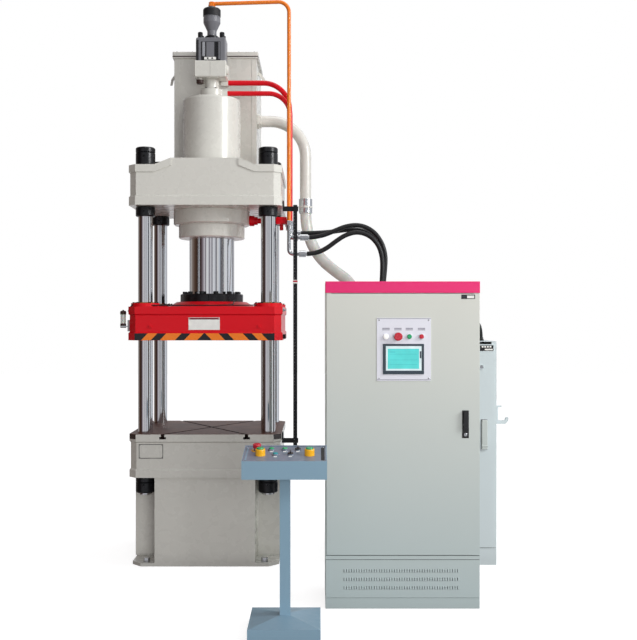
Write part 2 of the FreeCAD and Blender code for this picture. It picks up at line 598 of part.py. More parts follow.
def make_ram():
    flange_low = "platen_rest + platen_height + boss_height"
    neck_low = flange_low + " + rod_collar_height"
    neck_top = neck_low + " + rod_neck_height"
    piston_top = "piston_rest + piston_height"
    nut_top = piston_top + " + piston_nut_height"
    node("piston_rod", turned([
        ("0", flange_low), ("rod_radius", flange_low), ("rod_radius", neck_low),
        ("rod_neck_radius", neck_low), ("rod_neck_radius", neck_top), ("rod_radius", neck_top),
        ("rod_radius", "piston_rest"), ("rod_spigot_radius", "piston_rest"),
        ("rod_spigot_radius", nut_top), ("0", nut_top)]))
    seat = "rod_spigot_radius + seat_gap"
    ring = turned([(seat, "piston_rest"), ("bore_radius - run_gap", "piston_rest"),
                   ("bore_radius - run_gap", piston_top), (seat, piston_top)])
    lock = turned([(seat, piston_top), ("piston_nut_radius", piston_top),
                   ("piston_nut_radius", nut_top), (seat, nut_top)])
    node("piston", group(ring, lock))
    ring_top = flange_low + " + split_flange_height"
    flange = turned([
        ("rod_radius + seat_gap", flange_low), ("split_flange_radius", flange_low),
        ("split_flange_radius", ring_top + " - split_flange_edge"),
        ("split_flange_radius - split_flange_edge", ring_top),
        ("rod_radius + seat_gap", ring_top), ("rod_radius + seat_gap", neck_top),
        ("rod_neck_radius + seat_gap", neck_top + " - seat_gap"),
        ("rod_neck_radius + seat_gap", neck_low + " + seat_gap"),
        ("rod_radius + seat_gap", neck_low)])
    through = "split_flange_height + 2 * overrun"
    slit = block("0", "0", flange_low + " - overrun", "split_gap", "2 * split_flange_radius + overrun",
                 through)
    holes, bolts = [], []
    for n in range(FLANGE_BOLTS):
        turn = math.radians((n + 0.5) * 360 / FLANGE_BOLTS)
        x = "flange_bolt_circle * %.6f" % math.cos(turn)
        y = "flange_bolt_circle * %.6f" % math.sin(turn)
        holes.append(rod("flange_shank_radius", through, x, y, flange_low + " - overrun"))
        head = rod("flange_bolt_radius", "flange_bolt_head", x, y, ring_top)
        shank = rod("flange_shank_radius - seat_gap", "split_flange_height", x, y, flange_low)
        socket = rod("flange_socket_radius", "socket_depth + overrun", x, y,
                     ring_top + " + flange_bolt_head - socket_depth")
        bolts.append(cut(fuse(head, shank), socket))
    node("rod_flange", group(cut(flange, slit, *holes), *bolts))


def make_platen():
    top = "platen_rest + platen_height"
    raw = banded("platen_width", "platen_rest", "platen_height", "hazard_band", "platen_band")
    ears = [rod("ear_radius", "ear_height", x, y, top) for _, x, y in corners()]
    flare = "boss_radius + boss_flare"
    boss = turned([("0", top + " - boss_root"), (flare, top + " - boss_root"), (flare, top),
                   ("boss_radius", top + " + boss_height"), ("0", top + " + boss_height")])
    inner, outer = "column_radius + run_gap", "column_radius + run_gap + bush_wall"
    bores = column_bores(outer + " + seat_gap", "platen_rest - overrun",
                         "platen_height + ear_height + 2 * overrun")
    node("platen", cut(fuse(raw, boss, *ears), *bores))
    low, high = "platen_rest + bush_lift", top + " + ear_height"
    lip = outer + " + bush_lip_reach"
    section = [(inner, low), (outer, low), (outer, high), (lip, high), (lip, high + " + bush_lip"),
               (inner, high + " + bush_lip")]
    node("platen_bushes", group(*[turned(section, x, y) for _, x, y in corners()]))


# --- valves, tank and pipework --------------------------------------------------------------

def make_valves():
    body = block("0", "0", "block_low", "block_width", "block_depth", "block_height")
    soft = soften(body, "block_edge", lambda edge: True)
    outer, side = "-block_width / 2 - plug_reach", "-block_width / 2"
    plug = turned([("0", outer), ("plug_radius - plug_edge", outer),
                   ("plug_radius", outer + " + plug_edge"), ("plug_radius", side + " + plug_root"),
                   ("0", side + " + plug_root")])
    put(plug, "0", "-drain_y", "block_low + block_height / 2", (0, 1, 0), -90)
    drain = rod("drain_radius", "drain_reach + overrun", "-drain_x", "-drain_y", "block_low - drain_reach")
    bore = rod("cap_neck_radius - cap_wall", "block_height / 2", "0", "0", "block_low - overrun")
    boss = box("block_width / 2 - port_size", "pipe_pitch - port_size / 2",
               "upper_pipe_level - port_size / 2", "port_size", "port_size", "port_size")
    port = rod("pipe_radius - pipe_wall", "block_port_depth + overrun",
               "block_width / 2 - block_port_depth", "pipe_pitch", "upper_pipe_level", "X")
    node("prefill_valve_block", cut(fuse(soft, plug, drain, boss), bore, port))
    body = block("0", "0", "valve_low", "valve_width", "valve_depth", "valve_height")
    soft = soften(body, "valve_edge", lambda edge: True)
    window = box("-window_width / 2", "-valve_depth / 2 - overrun", "valve_low + window_lift",
                 "window_width", "window_depth + overrun", "window_height")
    bolts = []
    for x in ("-valve_bolt_x", "valve_bolt_x"):
        for y in ("-valve_bolt_y", "valve_bolt_y"):
            head = rod("valve_bolt_radius", "valve_bolt_height + overrun", x, y, "solenoid_low - overrun")
            bolts.append(cut(head, rod("valve_bolt_radius / 2", "socket_depth + overrun", x, y,
                                       "solenoid_low + valve_bolt_height - socket_depth")))
    node("pilot_valve", cut(fuse(soft, *bolts), window))
    ring_low = "solenoid_neck_height + solenoid_taper + solenoid_ring"
    inner_low = ring_low + " + groove_flank"
    inner_top = inner_low + " + groove_floor"
    ring_top = inner_top + " + groove_flank"
    nut_radius, nut_top = "pilot_pipe_radius + pilot_nut_wall", "solenoid_height + pilot_nut_height"
    node("pilot_solenoid", turned([
        ("0", "0"), ("solenoid_neck_radius", "0"), ("solenoid_neck_radius", "solenoid_neck_height"),
        ("solenoid_radius", "solenoid_neck_height + solenoid_taper"), ("solenoid_radius", ring_low),
        ("solenoid_radius - solenoid_groove", inner_low),
        ("solenoid_radius - solenoid_groove", inner_top), ("solenoid_radius", ring_top),
        ("solenoid_radius", "solenoid_height - solenoid_edge"),
        ("solenoid_radius - solenoid_edge", "solenoid_height"), (nut_radius, "solenoid_height"),
        (nut_radius, nut_top), ("0", nut_top)], z="solenoid_low"))


def make_tank():
    room_width, room_depth = "tank_width - 2 * tank_wall", "tank_depth - 2 * tank_wall"
    raw = block("0", "tank_middle", "tank_bottom", "tank_width", "tank_depth", "tank_height")
    room = block("0", "tank_middle", "tank_bottom + tank_wall", room_width, room_depth, "tank_height")
    rim = block("0", "tank_middle", "tank_top - rim_width", "tank_width + 2 * rim_width",
                "tank_depth + 2 * rim_width", "rim_width")
    mouth = block("0", "tank_middle", "tank_top - rim_width - overrun", room_width, room_depth,
                  "rim_width + 2 * overrun")
    hole = rod("suction_radius - suction_wall", "tank_wall + 2 * overrun",
               "tank_width / 2 - tank_wall - overrun", "suction_y", "suction_level", "X")
    hooks = []
    for s in ("-", ""):
        outer = [(s + "(tank_width / 2 + (%d))" % reach, "tank_top - %d" % drop)
                 for reach, drop in TANK_HOOK]
        hooks.append(plate(outer, "hook_sheet", y="tank_front + tank_hook_setback",
                           role="XZ_Plane"))
    node("oil_tank", cut(fuse(cut(raw, room), cut(rim, mouth), *hooks), hole))
    lid = block("0", "tank_middle", "tank_top", "tank_width + 2 * lid_overhang",
                "tank_depth + 2 * lid_overhang", "lid_thickness")
    filler = turned(FILLER, "-filler_x", "tank_front + filler_setback", "tank_top + lid_thickness")
    node("tank_lid", fuse(soften(lid, "lid_edge", lambda edge: True), filler))
    rear = "tank_front + rail_length"
    parts = []
    for s in ("-", ""):
        rail = block(s + "rail_x", "tank_front + rail_setback + rail_length / 2", "tank_seat",
                     "rail_width", "rail_length", "tank_lift")
        gusset = plate([("press_depth / 2", "tank_seat - gusset_drop"), (rear, "tank_seat - gusset_tip"),
                        (rear, "tank_seat"), ("press_depth / 2", "tank_seat")],
                       "gusset_thickness", x=s + "rail_x - gusset_thickness / 2", role="YZ_Plane")
        parts.append(fuse(rail, gusset))
    node("tank_brackets", group(*parts))


def make_pipes():
    runs = {"pilot": ("pipe_drop_x", "-pipe_pitch", "pilot_pipe_radius"),
            "upper": ("pipe_drop_x", "pipe_pitch", "pipe_radius"),
            "lower": ("lower_drop_x", "0", "lower_pipe_radius")}
    node("pilot_pipe", rigid_pipe(
        [("0", "0", "pilot_low"), ("0", "0", "pilot_top"),
         ("pipe_drop_x", "-pipe_pitch", "pilot_top"), ("pipe_drop_x", "-pipe_pitch", "elbow_top")],
        ["pilot_top - pilot_low - seat_gap", "pilot_bend"], "pilot_pipe_radius", "pilot_wall"))
    upper = rigid_pipe(
        [("block_width / 2", "pipe_pitch", "upper_pipe_level"),
         ("pipe_drop_x", "pipe_pitch", "upper_pipe_level"), ("pipe_drop_x", "pipe_pitch", "elbow_top")],
        ["upper_bend"], "pipe_radius", "pipe_wall")
    lower = rigid_pipe(
        [("cap_neck_radius + port_reach", "0", "lower_pipe_level"),
         ("lower_drop_x", "0", "lower_pipe_level"), ("lower_drop_x", "0", "elbow_top")],
        ["lower_bend"], "lower_pipe_radius", "pipe_wall")
    node("pressure_pipes", group(upper, lower))
    node("suction_pipe", rigid_pipe(
        [("tank_width / 2", "suction_y", "suction_level"), ("suction_x", "suction_y", "suction_level"),
         ("suction_x", "suction_y", "suction_end")], ["suction_bend"], "suction_radius", "suction_wall"))
    elbows = []
    for run, points in zip(("upper", "lower", "pilot"), HOSES.values()):
        x, y, radius = runs[run]
        level = str(points[0][2])
        bend = rigid_pipe([(x, y, "elbow_top"), (x, y, level), ("elbow_end", y, level)],
                          ["elbow_end - (%s) - seat_gap" % x], radius, "0")
        nut = rod(radius + " + elbow_nut_wall", "elbow_nut_height", x, y, "elbow_top - elbow_nut_height")
        elbows.append(fuse(bend, nut))
    node("hose_elbows", group(*elbows))
    near = "pipe_drop_x - pipe_radius - seat_gap - cross_valve_length"
    valve = box(near, "-cross_valve_width / 2", "cross_level - cross_valve_height / 2",
                "cross_valve_length", "cross_valve_width", "cross_valve_height")
    spigot = rod("cross_stem_radius", "lower_drop_x - lower_pipe_radius - seat_gap - (%s)" % near, near,
                 "0", "cross_level", "X")
    stem = rod("cross_stem_radius", "cross_stem_length", near + " + cross_valve_length / 2", "0",
               "cross_level - cross_stem_drop")
    bridge = rigid_pipe([("lock_radius + cross_lead", "0", "cross_level"),
                         (near + " + overrun", "0", "cross_level")], [], "pipe_radius", "0")
    flange = rod("cross_flange_radius", "cross_flange_length", "lock_radius", "0", "cross_level", "X")
    collar = rod("cross_collar_radius", "cross_collar_length",
                 "lock_radius + cross_flange_length - overrun", "0", "cross_level", "X")
    node("cross_pipe", fuse(bridge, valve, spigot, stem, flange, collar))


HOSES = {
    "press_hose_upper": [
        (576, 45, 2066), (730, 45, 2069), (880, 44, 2092), (985, 44, 2087), (1065, 43, 2035),
        (1108, 42, 1945), (1112, 42, 1840), (1100, 43, 1640), (1094, 44, 1340), (1098, 45, 1030),
        (1095, 45, 712)],
    "press_hose_middle": [
        (632, 0, 2036), (705, 0, 2042), (790, 0, 2076), (875, 1, 2112), (965, 1, 2118),
        (1047, 1, 2080), (1102, 0, 2008), (1128, 0, 1922), (1124, 0, 1828), (1106, 1, 1660),
        (1098, 1, 1360), (1094, 0, 1030), (1095, 0, 712)],
    "press_hose_lower": [
        (617, -45, 1926), (676, -45, 1930), (742, -45, 1960), (802, -45, 2006), (864, -44, 2048),
        (942, -43, 2070), (1022, -42, 2046), (1080, -42, 1984), (1104, -42, 1902),
        (1104, -43, 1812), (1094, -44, 1640), (1088, -45, 1340), (1092, -45, 1030),
        (1095, -45, 712)],
}
SUCTION_ROUTE = [
    (604, 300, 2296), (604, 300, 2190), (621, 299, 2082), (660, 296, 1985), (722, 288, 1898),
    (805, 272, 1830), (890, 240, 1768), (950, 190, 1670), (980, 110, 1530), (985, 10, 1370),
    (968, -70, 1190), (950, -105, 1010), (945, -112, 825), (945, -112, 640)]
CONDUIT_ROUTE = [
    (1722, -150, 1369), (1722, -150, 1428), (1700, -188, 1479), (1655, -250, 1505),
    (1612, -318, 1506), (1575, -395, 1490), (1542, -480, 1468), (1515, -570, 1448),
    (1495, -665, 1434), (1484, -755, 1426), (1480, -836, 1424)]


def ferrule(x, y, z, length, along="X"):
    """A swaged hose end: a stem with a nut and a ferrule, as shares of its length."""
    parts = [rod("ferrule_radius - stem_step", length, x, y, z, along)]
    for start, end, size in ((0.08, 0.28, "ferrule_radius + ferrule_step"), (0.42, 0.92, "ferrule_radius")):
        shift = " + (%s) * %.2f" % (length, start)
        run = "(%s) * %.2f" % (length, end - start)
        place = (x + shift, y, z) if along == "X" else (x, y, z + shift)
        parts.append(rod(size, run, *place, along))
    return fuse(*parts)


def clamp(point, low, high):
    """A clamp sleeve round an end of the suction hose, from below to above the end."""
    inner, outer = "suction_hose_radius + seat_gap", "suction_hose_radius + clamp_wall"
    return turned([(inner, low), (outer, low), (outer, high), (inner, high)],
                  *[str(value) for value in point])


def make_hoses():
    for name, points in HOSES.items():
        hose(name, points, "hose_radius")
    hose("suction_hose", SUCTION_ROUTE, "suction_hose_radius")
    hose("cabinet_conduit", CONDUIT_ROUTE, "conduit_radius")
    tails = []
    for points in HOSES.values():
        (x, y, level), (far_x, _, end) = points[0], points[-1]
        tails.append(ferrule("elbow_end", str(y), str(level), "%s - elbow_end" % x))
        tails.append(ferrule(str(far_x), str(y), "gallery_top", "%s - gallery_top" % end, "Z"))
    upper = clamp(SUCTION_ROUTE[0], "-clamp_cover", "clamp_lap")
    lower = clamp(SUCTION_ROUTE[-1], "-clamp_lap", "low_clamp_cover")
    node("hose_fittings", group(*tails, upper, lower))


def make_scale():
    bar = box("scale_x - scale_width / 2", "-scale_y - scale_thickness / 2", "scale_bottom",
              "scale_width", "scale_thickness", "scale_top - scale_bottom")
    far = "scale_x + scale_width / 2 + bracket_lead"
    back = "-scale_y + scale_thickness / 2"
    parts = []
    for side, level in (("crosshead_width / 2", "crosshead_rest - head_bracket_drop"),
                        ("bed_width / 2", "bed_top - bed_bracket_drop")):
        arm = box(side, back, level, "%s - (%s)" % (far, side), "bracket_sheet", "bracket_height")
        upright = box(side, back, level + " + upright_lift", "bracket_sheet", "upright_width",
                      "upright_height")
        parts.append(fuse(arm, upright))
    node("position_scale", group(bar, *parts))


# --- power unit -----------------------------------------------------------------------------

def make_power_unit():
    left, front = "unit_x - skid_width / 2", "-skid_depth / 2"
    deck_low = "skid_height - skid_wall"
    rails = [box(x, front, "0", "skid_rail", "skid_depth", deck_low)
             for x in (left, left + " + skid_width - skid_rail")]
    deck = box(left, front, deck_low, "skid_width", "skid_depth", "skid_wall")
    saddle = "shaft_level - skid_height - motor_radius * 0.8"
    cradle = block("unit_x", "cradle_y", "skid_height", "motor_radius", "cradle_length", saddle)
    post = block("gallery_x", "gallery_post_y", "skid_height", "gallery_post_width",
                 "gallery_post_depth", "gallery_top - gallery_height - skid_height")
    node("power_unit_skid", fuse(*rails, deck, cradle, post))
    motor = rod("motor_radius", "motor_length", "unit_x", "motor_front", "shaft_level", "Y")
    cowl = rod("motor_radius + cowl_step", "cowl_length", "unit_x", "motor_length - cowl_lap",
               "shaft_level", "Y")
    terminals = block("unit_x", "terminal_y", "shaft_level + motor_radius - terminal_sink",
                      "terminal_width", "terminal_depth", "terminal_height")
    seat = block("unit_x", "cradle_y", "skid_height - overrun", "motor_radius", "cradle_length",
                 saddle + " + overrun")
    node("pump_motor", cut(fuse(motor, cowl, terminals), seat))
    bell_front = "motor_front - bell_length"
    bell = rod("motor_radius - bell_step", "bell_length", "unit_x", bell_front, "shaft_level", "Y")
    pump = rod("pump_radius", "pump_length", "unit_x", bell_front + " - pump_length", "shaft_level", "Y")
    riser = rod("suction_radius - riser_step", "riser_top - shaft_level", "unit_x", "-riser_y",
                "shaft_level")
    reach = "pump_radius + delivery_reach"
    delivery = rod("delivery_radius", reach, "unit_x", "-riser_y", "shaft_level", "X")
    node("oil_pump", fuse(bell, pump, riser, delivery))
    gallery_low = "gallery_top - gallery_height"
    gallery = box("gallery_x - gallery_width / 2", "-gallery_front", gallery_low, "gallery_width",
                  "gallery_depth", "gallery_height")
    pipe = rigid_pipe([("unit_x + " + reach, "-riser_y", "shaft_level"),
                       ("gallery_x", "-riser_y", "shaft_level"), ("gallery_x", "-riser_y", gallery_low)],
                      ["gallery_bend"], "gallery_pipe_radius", "0")
    node("pump_block", fuse(gallery, pipe))


# --- cabinets -------------------------------------------------------------------------------

def cabinet_body(left, front, width, depth, height, low):
    """A folded sheet cabinet, open at the front above its plinth, with a flange down each side."""
    face = "-%s + door_sheet + door_seat" % front
    body_depth = "%s - door_sheet - door_seat" % depth
    inner_width = "%s - 2 * sheet" % width
    outer = box(left, face, "0", width, body_depth, height)
    room = box("%s + sheet" % left, face + " - overrun", "%s + sheet" % low, inner_width,
               body_depth + " - sheet + overrun", "%s - %s - 2 * sheet" % (height, low))
    flanges = [box(x, face, low, "flange_width", "sheet", "%s - %s" % (height, low))
               for x in (left, "%s + %s - flange_width" % (left, width))]
    base = box("%s + sheet" % left, face + " + sheet", "-overrun", inner_width,
               body_depth + " - 2 * sheet", low + " - sheet + overrun")
    return cut(outer, room, base), flanges


def hung_door(left, front, low, width, height, above, below):
    """A door sheet with a rolled edge about its hinge line and a pivot pin at each end of it."""
    line_x, line_y = "%s + door_sheet / 2" % left, "-%s + door_sheet / 2" % front
    sheet = box(line_x, "-%s" % front, low, "%s - door_sheet / 2" % width, "door_sheet", height)
    roll = rod("door_sheet / 2", height, line_x, line_y, low)
    pin = rod("pivot_radius", "%s + %s + %s" % (height, above, below), line_x, line_y,
              "%s - (%s)" % (low, below))
    return fuse(sheet, roll, pin)


def push(name, place, axis_turn, head_radius, proud, stem_radius, head):
    """A push on its own axis: a domed head on a stem; it points outwards along local +Z."""
    low = "%s - %s" % (proud, head)
    body = turned([("0", "-push_root"), (stem_radius, "-push_root"), (stem_radius, low),
                   (head_radius, low), (head_radius, "%s - 2.5" % proud),
                   ("%s - 1" % head_radius, "%s - 1" % proud), ("%s - 3.5" % head_radius, proud),
                   ("0", proud)])
    return node(name, put(body, *place, (1, 0, 0), axis_turn))


def ring(place, axis_turn, outer, proud):
    """The fixed ring round a push, local to its panel face."""
    body = turned([("ring_bore", "0"), (outer, "0"), (outer, "%s - 1" % proud),
                   ("%s - 1" % outer, proud), ("ring_bore", proud)])
    return put(body, *place, (1, 0, 0), axis_turn)


def lever(name, x, front, level, width, height, tail, hub_drop):
    """A flush lever: a flat grip, the hub that it turns on and the rod across its foot."""
    grip = box("-(%s) / 2" % width, "-lever_thickness / 2", "-(%s)" % tail, width, "lever_thickness",
               height)
    hub = rod("hub_radius", "hub_length", "0", "-lever_thickness / 2", "-(%s)" % hub_drop, "Y")
    foot = rod("foot_radius", width, "-(%s) / 2" % width, "0", "-(%s)" % hub_drop, "X")
    body = fuse(soften(grip, "lever_edge", lambda edge: True), hub, foot)
    node(name, put(body, x, "-%s - lever_off" % front, level))


def make_main_cabinet():
    shell, flanges = cabinet_body("cabinet_left", "cabinet_front", "cabinet_width", "cabinet_depth",
                                  "cabinet_height", "plinth_height")
    header = box("cabinet_left", "-cabinet_front", "cabinet_height - header_height", "cabinet_width",
                 "trim_depth", "header_height")
    sill = box("cabinet_left", "-cabinet_front + sill_setback", "vent_top + sill_gap",
               "cabinet_width", "trim_depth", "door_bottom - vent_top - 2 * sill_gap")
    vent = box("cabinet_left + sill_gap", "-cabinet_front", "plinth_height + sill_gap",
               "cabinet_width - 2 * sill_gap", "trim_depth", "vent_top - plinth_height - sill_gap")
    node("cabinet_shell", fuse(shell, *flanges, header, sill, vent))
    door_height = "cabinet_height - header_height - door_gap - door_bottom"
    door = hung_door("cabinet_left + door_side", "cabinet_front", "door_bottom",
                     "cabinet_width - door_side - door_gap", door_height, "door_gap - pivot_gap",
                     "sill_gap - pivot_gap")
    pane = ("screen_left + screen_lap", "screen_bottom + screen_lap",
            "screen_width - 2 * screen_lap", "screen_height - 2 * screen_lap")
    places = ("stop_x", "go_x", "halt_x")

    def opened(base, front, thickness):
        start, through = front + " - overrun", thickness + " + 2 * overrun"
        window = box(pane[0], start, pane[1], pane[2], through, pane[3])
        return cut(base, window, *[rod("push_hole", through, x, start, "lamp_row", "Y") for x in places])

    stiffener = box("cabinet_left + stiffener_inset", "-cabinet_front + door_sheet",
                    "door_bottom + stiffener_inset", "stiffener_width", "stiffener_depth",
                    door_height + " + door_gap - 2 * stiffener_inset")
    node("cabinet_door", opened(fuse(door, stiffener), "-cabinet_front", "door_sheet"))
    face = "-cabinet_front - plate_sheet"
    panel = box("plate_left", face, "plate_bottom", "plate_width", "plate_sheet", "plate_height")
    rings = [ring((x, face, "lamp_row"), 90, "ring_radius", "ring_proud") for x in ("go_x", "halt_x")]
    rings.append(ring(("stop_x", face, "lamp_row"), 90, "stop_ring_radius", "stop_ring_proud"))
    lamp = rod("lamp_radius", "lamp_proud", "lamp_x", face + " - lamp_proud", "lamp_row", "Y")
    frame = box("screen_left", face + " - bezel_proud", "screen_bottom", "screen_width",
                "bezel_proud", "screen_height")
    glass = box("screen_left + bezel_side", face + " - bezel_proud - overrun",
                "screen_bottom + bezel_low", "screen_width - bezel_side - bezel_other_side",
                "glass_depth + overrun", "screen_height - bezel_low - bezel_high")
    inner = "screen_lap + door_gap / 3"
    body = box("screen_left + " + inner, face, "screen_bottom + " + inner,
               "screen_width - 2 * (%s)" % inner, "screen_depth", "screen_height - 2 * (%s)" % inner)
    node("operator_panel", group(fuse(opened(panel, face, "plate_sheet"), *rings, lamp),
                                 cut(fuse(frame, body), glass)))
    for name, x in (("panel_start_push", "go_x"), ("panel_halt_push", "halt_x")):
        push(name, (x, face, "lamp_row"), 90, "push_radius", "push_proud", "push_stem", "push_head")
    push("panel_stop_mushroom", ("stop_x", face, "lamp_row"), 90, "mushroom_radius",
         "mushroom_proud", "mushroom_stem", "mushroom_head")
    lever("door_lever", "lever_x", "cabinet_front", "lever_level", "lever_width", "lever_height",
          "lever_tail", "0")


def make_rear_cabinet():
    shell, flanges = cabinet_body("rear_left", "rear_front", "rear_width", "rear_depth",
                                  "rear_height", "rear_plinth")
    hook = plate([("rear_right + (%d)" % reach, "hook_level + %d" % rise) for reach, rise in SIDE_HOOK],
                 "hook_width", y="-rear_front + hook_setback", role="XZ_Plane")
    node("rear_cabinet_shell", fuse(shell, *flanges, hook))
    door = hung_door("rear_left + rear_door_side", "rear_front", "rear_plinth + door_gap",
                     "rear_width - rear_door_side - rear_door_trim",
                     "rear_height - rear_plinth - door_gap - rear_door_top", "0", "0")
    rib = box("rear_left + stiffener_inset / 2", "-rear_front + door_sheet",
              "rear_plinth + rear_rib_inset", "stiffener_width", "stiffener_depth",
              "rear_height - rear_plinth - 2 * rear_rib_inset")
    node("rear_cabinet_door", fuse(door, rib))
    lever("rear_door_lever", "rear_handle_x", "rear_front", "rear_handle_level", "rear_grip_width",
          "rear_grip_height", "rear_grip_height / 2", "rear_hub_drop")


# --- operator desk --------------------------------------------------------------------------

DESK_SLOPE = math.degrees(math.atan(number("desk_rise")))
# each control's place from the desk's middle, to the right and to the rear
CONTROLS = {
    "two_hand_push_left": ("-hand_left", "-hand_row"),
    "two_hand_push_right": ("hand_right", "-hand_row"),
    "desk_stop_mushroom": ("-stop_left", "stop_row"),
    "desk_pump_push": ("-pump_left", "far_row"), "desk_return_push": ("-return_left", "far_row"),
    "desk_jog_push": ("-jog_left", "-hand_row"), "mode_selector": ("mode_right", "-mode_row"),
    "speed_selector": ("speed_right", "far_row")}


def panel_level(rear):
    """The height of the desk's sunk panel at a distance to the rear of its middle."""
    return ("desk_bottom + desk_front_height - panel_sink + (%s + desk_depth / 2) * desk_rise" % rear)


def make_desk_stand():
    collar = "post_size / 2 + post_collar"
    base = block("desk_x", "-desk_y", "0", "foot_width", "foot_depth", "foot_rim")
    peak = doc.addObject("Part::Wedge", "Peak")
    bind(peak, Xmin="0", Xmax="foot_width", Zmin="0", Zmax="foot_depth", Ymin="0",
         Ymax="foot_peak - foot_rim", X2min="foot_width / 2 - (%s)" % collar,
         X2max="foot_width / 2 + " + collar, Z2min="foot_depth / 2 - (%s)" % collar,
         Z2max="foot_depth / 2 + " + collar)
    put(peak, "desk_x - foot_width / 2", "-desk_y + foot_depth / 2", "foot_rim", (1, 0, 0), 90)
    inside = block("desk_x", "-desk_y", "-overrun", "foot_width - 2 * foot_wall",
                   "foot_depth - 2 * foot_wall", "foot_rim - foot_wall + overrun")
    post = block("desk_x", "-desk_y", "foot_rim", "post_size", "post_size", "desk_bottom - foot_rim")
    top = block("desk_x", "-desk_y", "desk_bottom - desk_floor", "desk_width - 2 * seat_gap",
                "desk_depth - 2 * seat_gap", "desk_floor")
    node("desk_stand", fuse(cut(fuse(base, peak), inside), post, top))


def make_desk():
    def wedge(inset, low, high):
        """A block with a sloped top, set in from the desk's four sides."""
        near, far = "-(desk_depth / 2 - %s)" % inset, "desk_depth / 2 - %s" % inset
        points = [(near, low(near)), (far, low(far)), (far, high(far)), (near, high(near))]
        return plate([("-desk_y + " + rear, level) for rear, level in points],
                     "desk_width - 2 * %s" % inset, x="desk_x - desk_width / 2 + %s" % inset,
                     role="YZ_Plane")

    def top(rear):
        return panel_level(rear) + " + panel_sink"

    def above(rear):
        return top(rear) + " + overrun"

    outer = wedge("0", lambda rear: "desk_bottom", top)
    room = wedge("desk_sheet", lambda rear: "desk_bottom - overrun", above)
    tray = wedge("(desk_sheet + seat_gap)", lambda rear: panel_level(rear) + " - panel_sheet", top)
    sink = wedge("panel_rim", panel_level, above)
    reach = 2 * number("push_root")
    back, lift = (reach * turn(math.radians(DESK_SLOPE)) / 2 for turn in (math.sin, math.cos))
    holes, rings, shrouds = [], [], []
    for name, (right, rear) in CONTROLS.items():
        place = ("desk_x + " + right, "-desk_y + " + rear, panel_level(rear))
        hole = rod("push_hole", str(reach), "0", "0", "0")
        holes.append(put(hole, place[0], place[1] + " + %.4f" % back, place[2] + " - %.4f" % lift,
                         (1, 0, 0), DESK_SLOPE))
        if name.startswith("two_hand"):
            push(name, place, DESK_SLOPE, "hand_radius", "hand_proud", "push_stem", "hand_head")
            guard = turned([("shroud_bore", "0"), ("shroud_radius", "0"),
                            ("shroud_radius", "shroud_height - 4"),
                            ("shroud_radius - 2", "shroud_height"), ("shroud_bore + 1", "shroud_height"),
                            ("shroud_bore", "shroud_height - 2")])
            shrouds.append(put(guard, *place, (1, 0, 0), DESK_SLOPE))
        elif name.endswith("mushroom"):
            rings.append(ring(place, DESK_SLOPE, "desk_stop_ring", "ring_proud"))
            push(name, place, DESK_SLOPE, "desk_mushroom_radius", "desk_mushroom_proud",
                 "mushroom_stem", "mushroom_head")
        elif name.endswith("push"):
            rings.append(ring(place, DESK_SLOPE, "ring_radius", "ring_proud"))
            push(name, place, DESK_SLOPE, "push_radius", "push_proud", "push_stem", "push_head")
        else:
            rings.append(ring(place, DESK_SLOPE, "ring_radius", "knob_ring_proud"))
            knob = turned([("0", "-push_root"), ("push_stem", "-push_root"), ("push_stem", "knob_low"),
                           ("knob_radius", "knob_low"), ("knob_radius", "knob_rim"),
                           ("knob_radius - 1.5", "knob_top"), ("0", "knob_top")])
            blade = block("0", "0", "knob_top - 1", "blade_width", "blade_length", "blade_height")
            node(name, put(fuse(knob, blade), *place, (1, 0, 0), DESK_SLOPE))
    node("desk_box", cut(outer, room))
    node("desk_panel", fuse(cut(tray, sink, *holes), *rings))
    node("button_shrouds", group(*shrouds))


make_base()
make_bed()
make_columns()
make_crosshead()
make_cylinder()
make_ram()
make_platen()
make_valves()
make_tank()
make_pipes()
make_hoses()
make_scale()
make_power_unit()
make_main_cabinet()
make_rear_cabinet()
make_desk_stand()
make_desk()

doc.recompute()
faults = [item.Label for item in doc.Objects if "Invalid" in item.State or "Error" in item.State]
faults += [item.Label for item in NODES if item.Shape.isNull() or not item.Shape.isValid()]
if faults:
    raise SystemExit("not built: " + ", ".join(faults))

os.makedirs("parts", exist_ok=True)
for item in NODES:
    item.Shape.exportStep("parts/%s.step" % item.Label)
    print("%-24s %2d solids %12.0f mm3" % (item.Label, len(item.Shape.Solids), item.Shape.Volume))
print(len(NODES), "nodes")
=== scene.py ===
"""Looks for a four-column hydraulic press: paint, chrome, hoses, panels and the small fittings."""

import math

import bmesh
import bpy
from mathutils import Matrix, Vector


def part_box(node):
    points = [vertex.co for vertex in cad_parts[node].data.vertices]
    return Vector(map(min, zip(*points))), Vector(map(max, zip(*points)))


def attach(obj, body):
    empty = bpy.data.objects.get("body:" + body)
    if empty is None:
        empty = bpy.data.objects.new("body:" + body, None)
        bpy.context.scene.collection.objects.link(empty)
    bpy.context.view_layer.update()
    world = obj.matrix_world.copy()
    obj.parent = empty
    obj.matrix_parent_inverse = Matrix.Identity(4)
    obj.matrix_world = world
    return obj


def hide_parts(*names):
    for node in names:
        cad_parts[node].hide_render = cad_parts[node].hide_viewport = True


bl_info = {
    "name": "Hydraulic press finish",
    "version": (1, 0, 0),
    "blender": (4, 5, 0),
    "location": "3D View > Sidebar > Press",
    "description": "Finishes a four-column press built around its packed frame",
    "category": "Object",
}

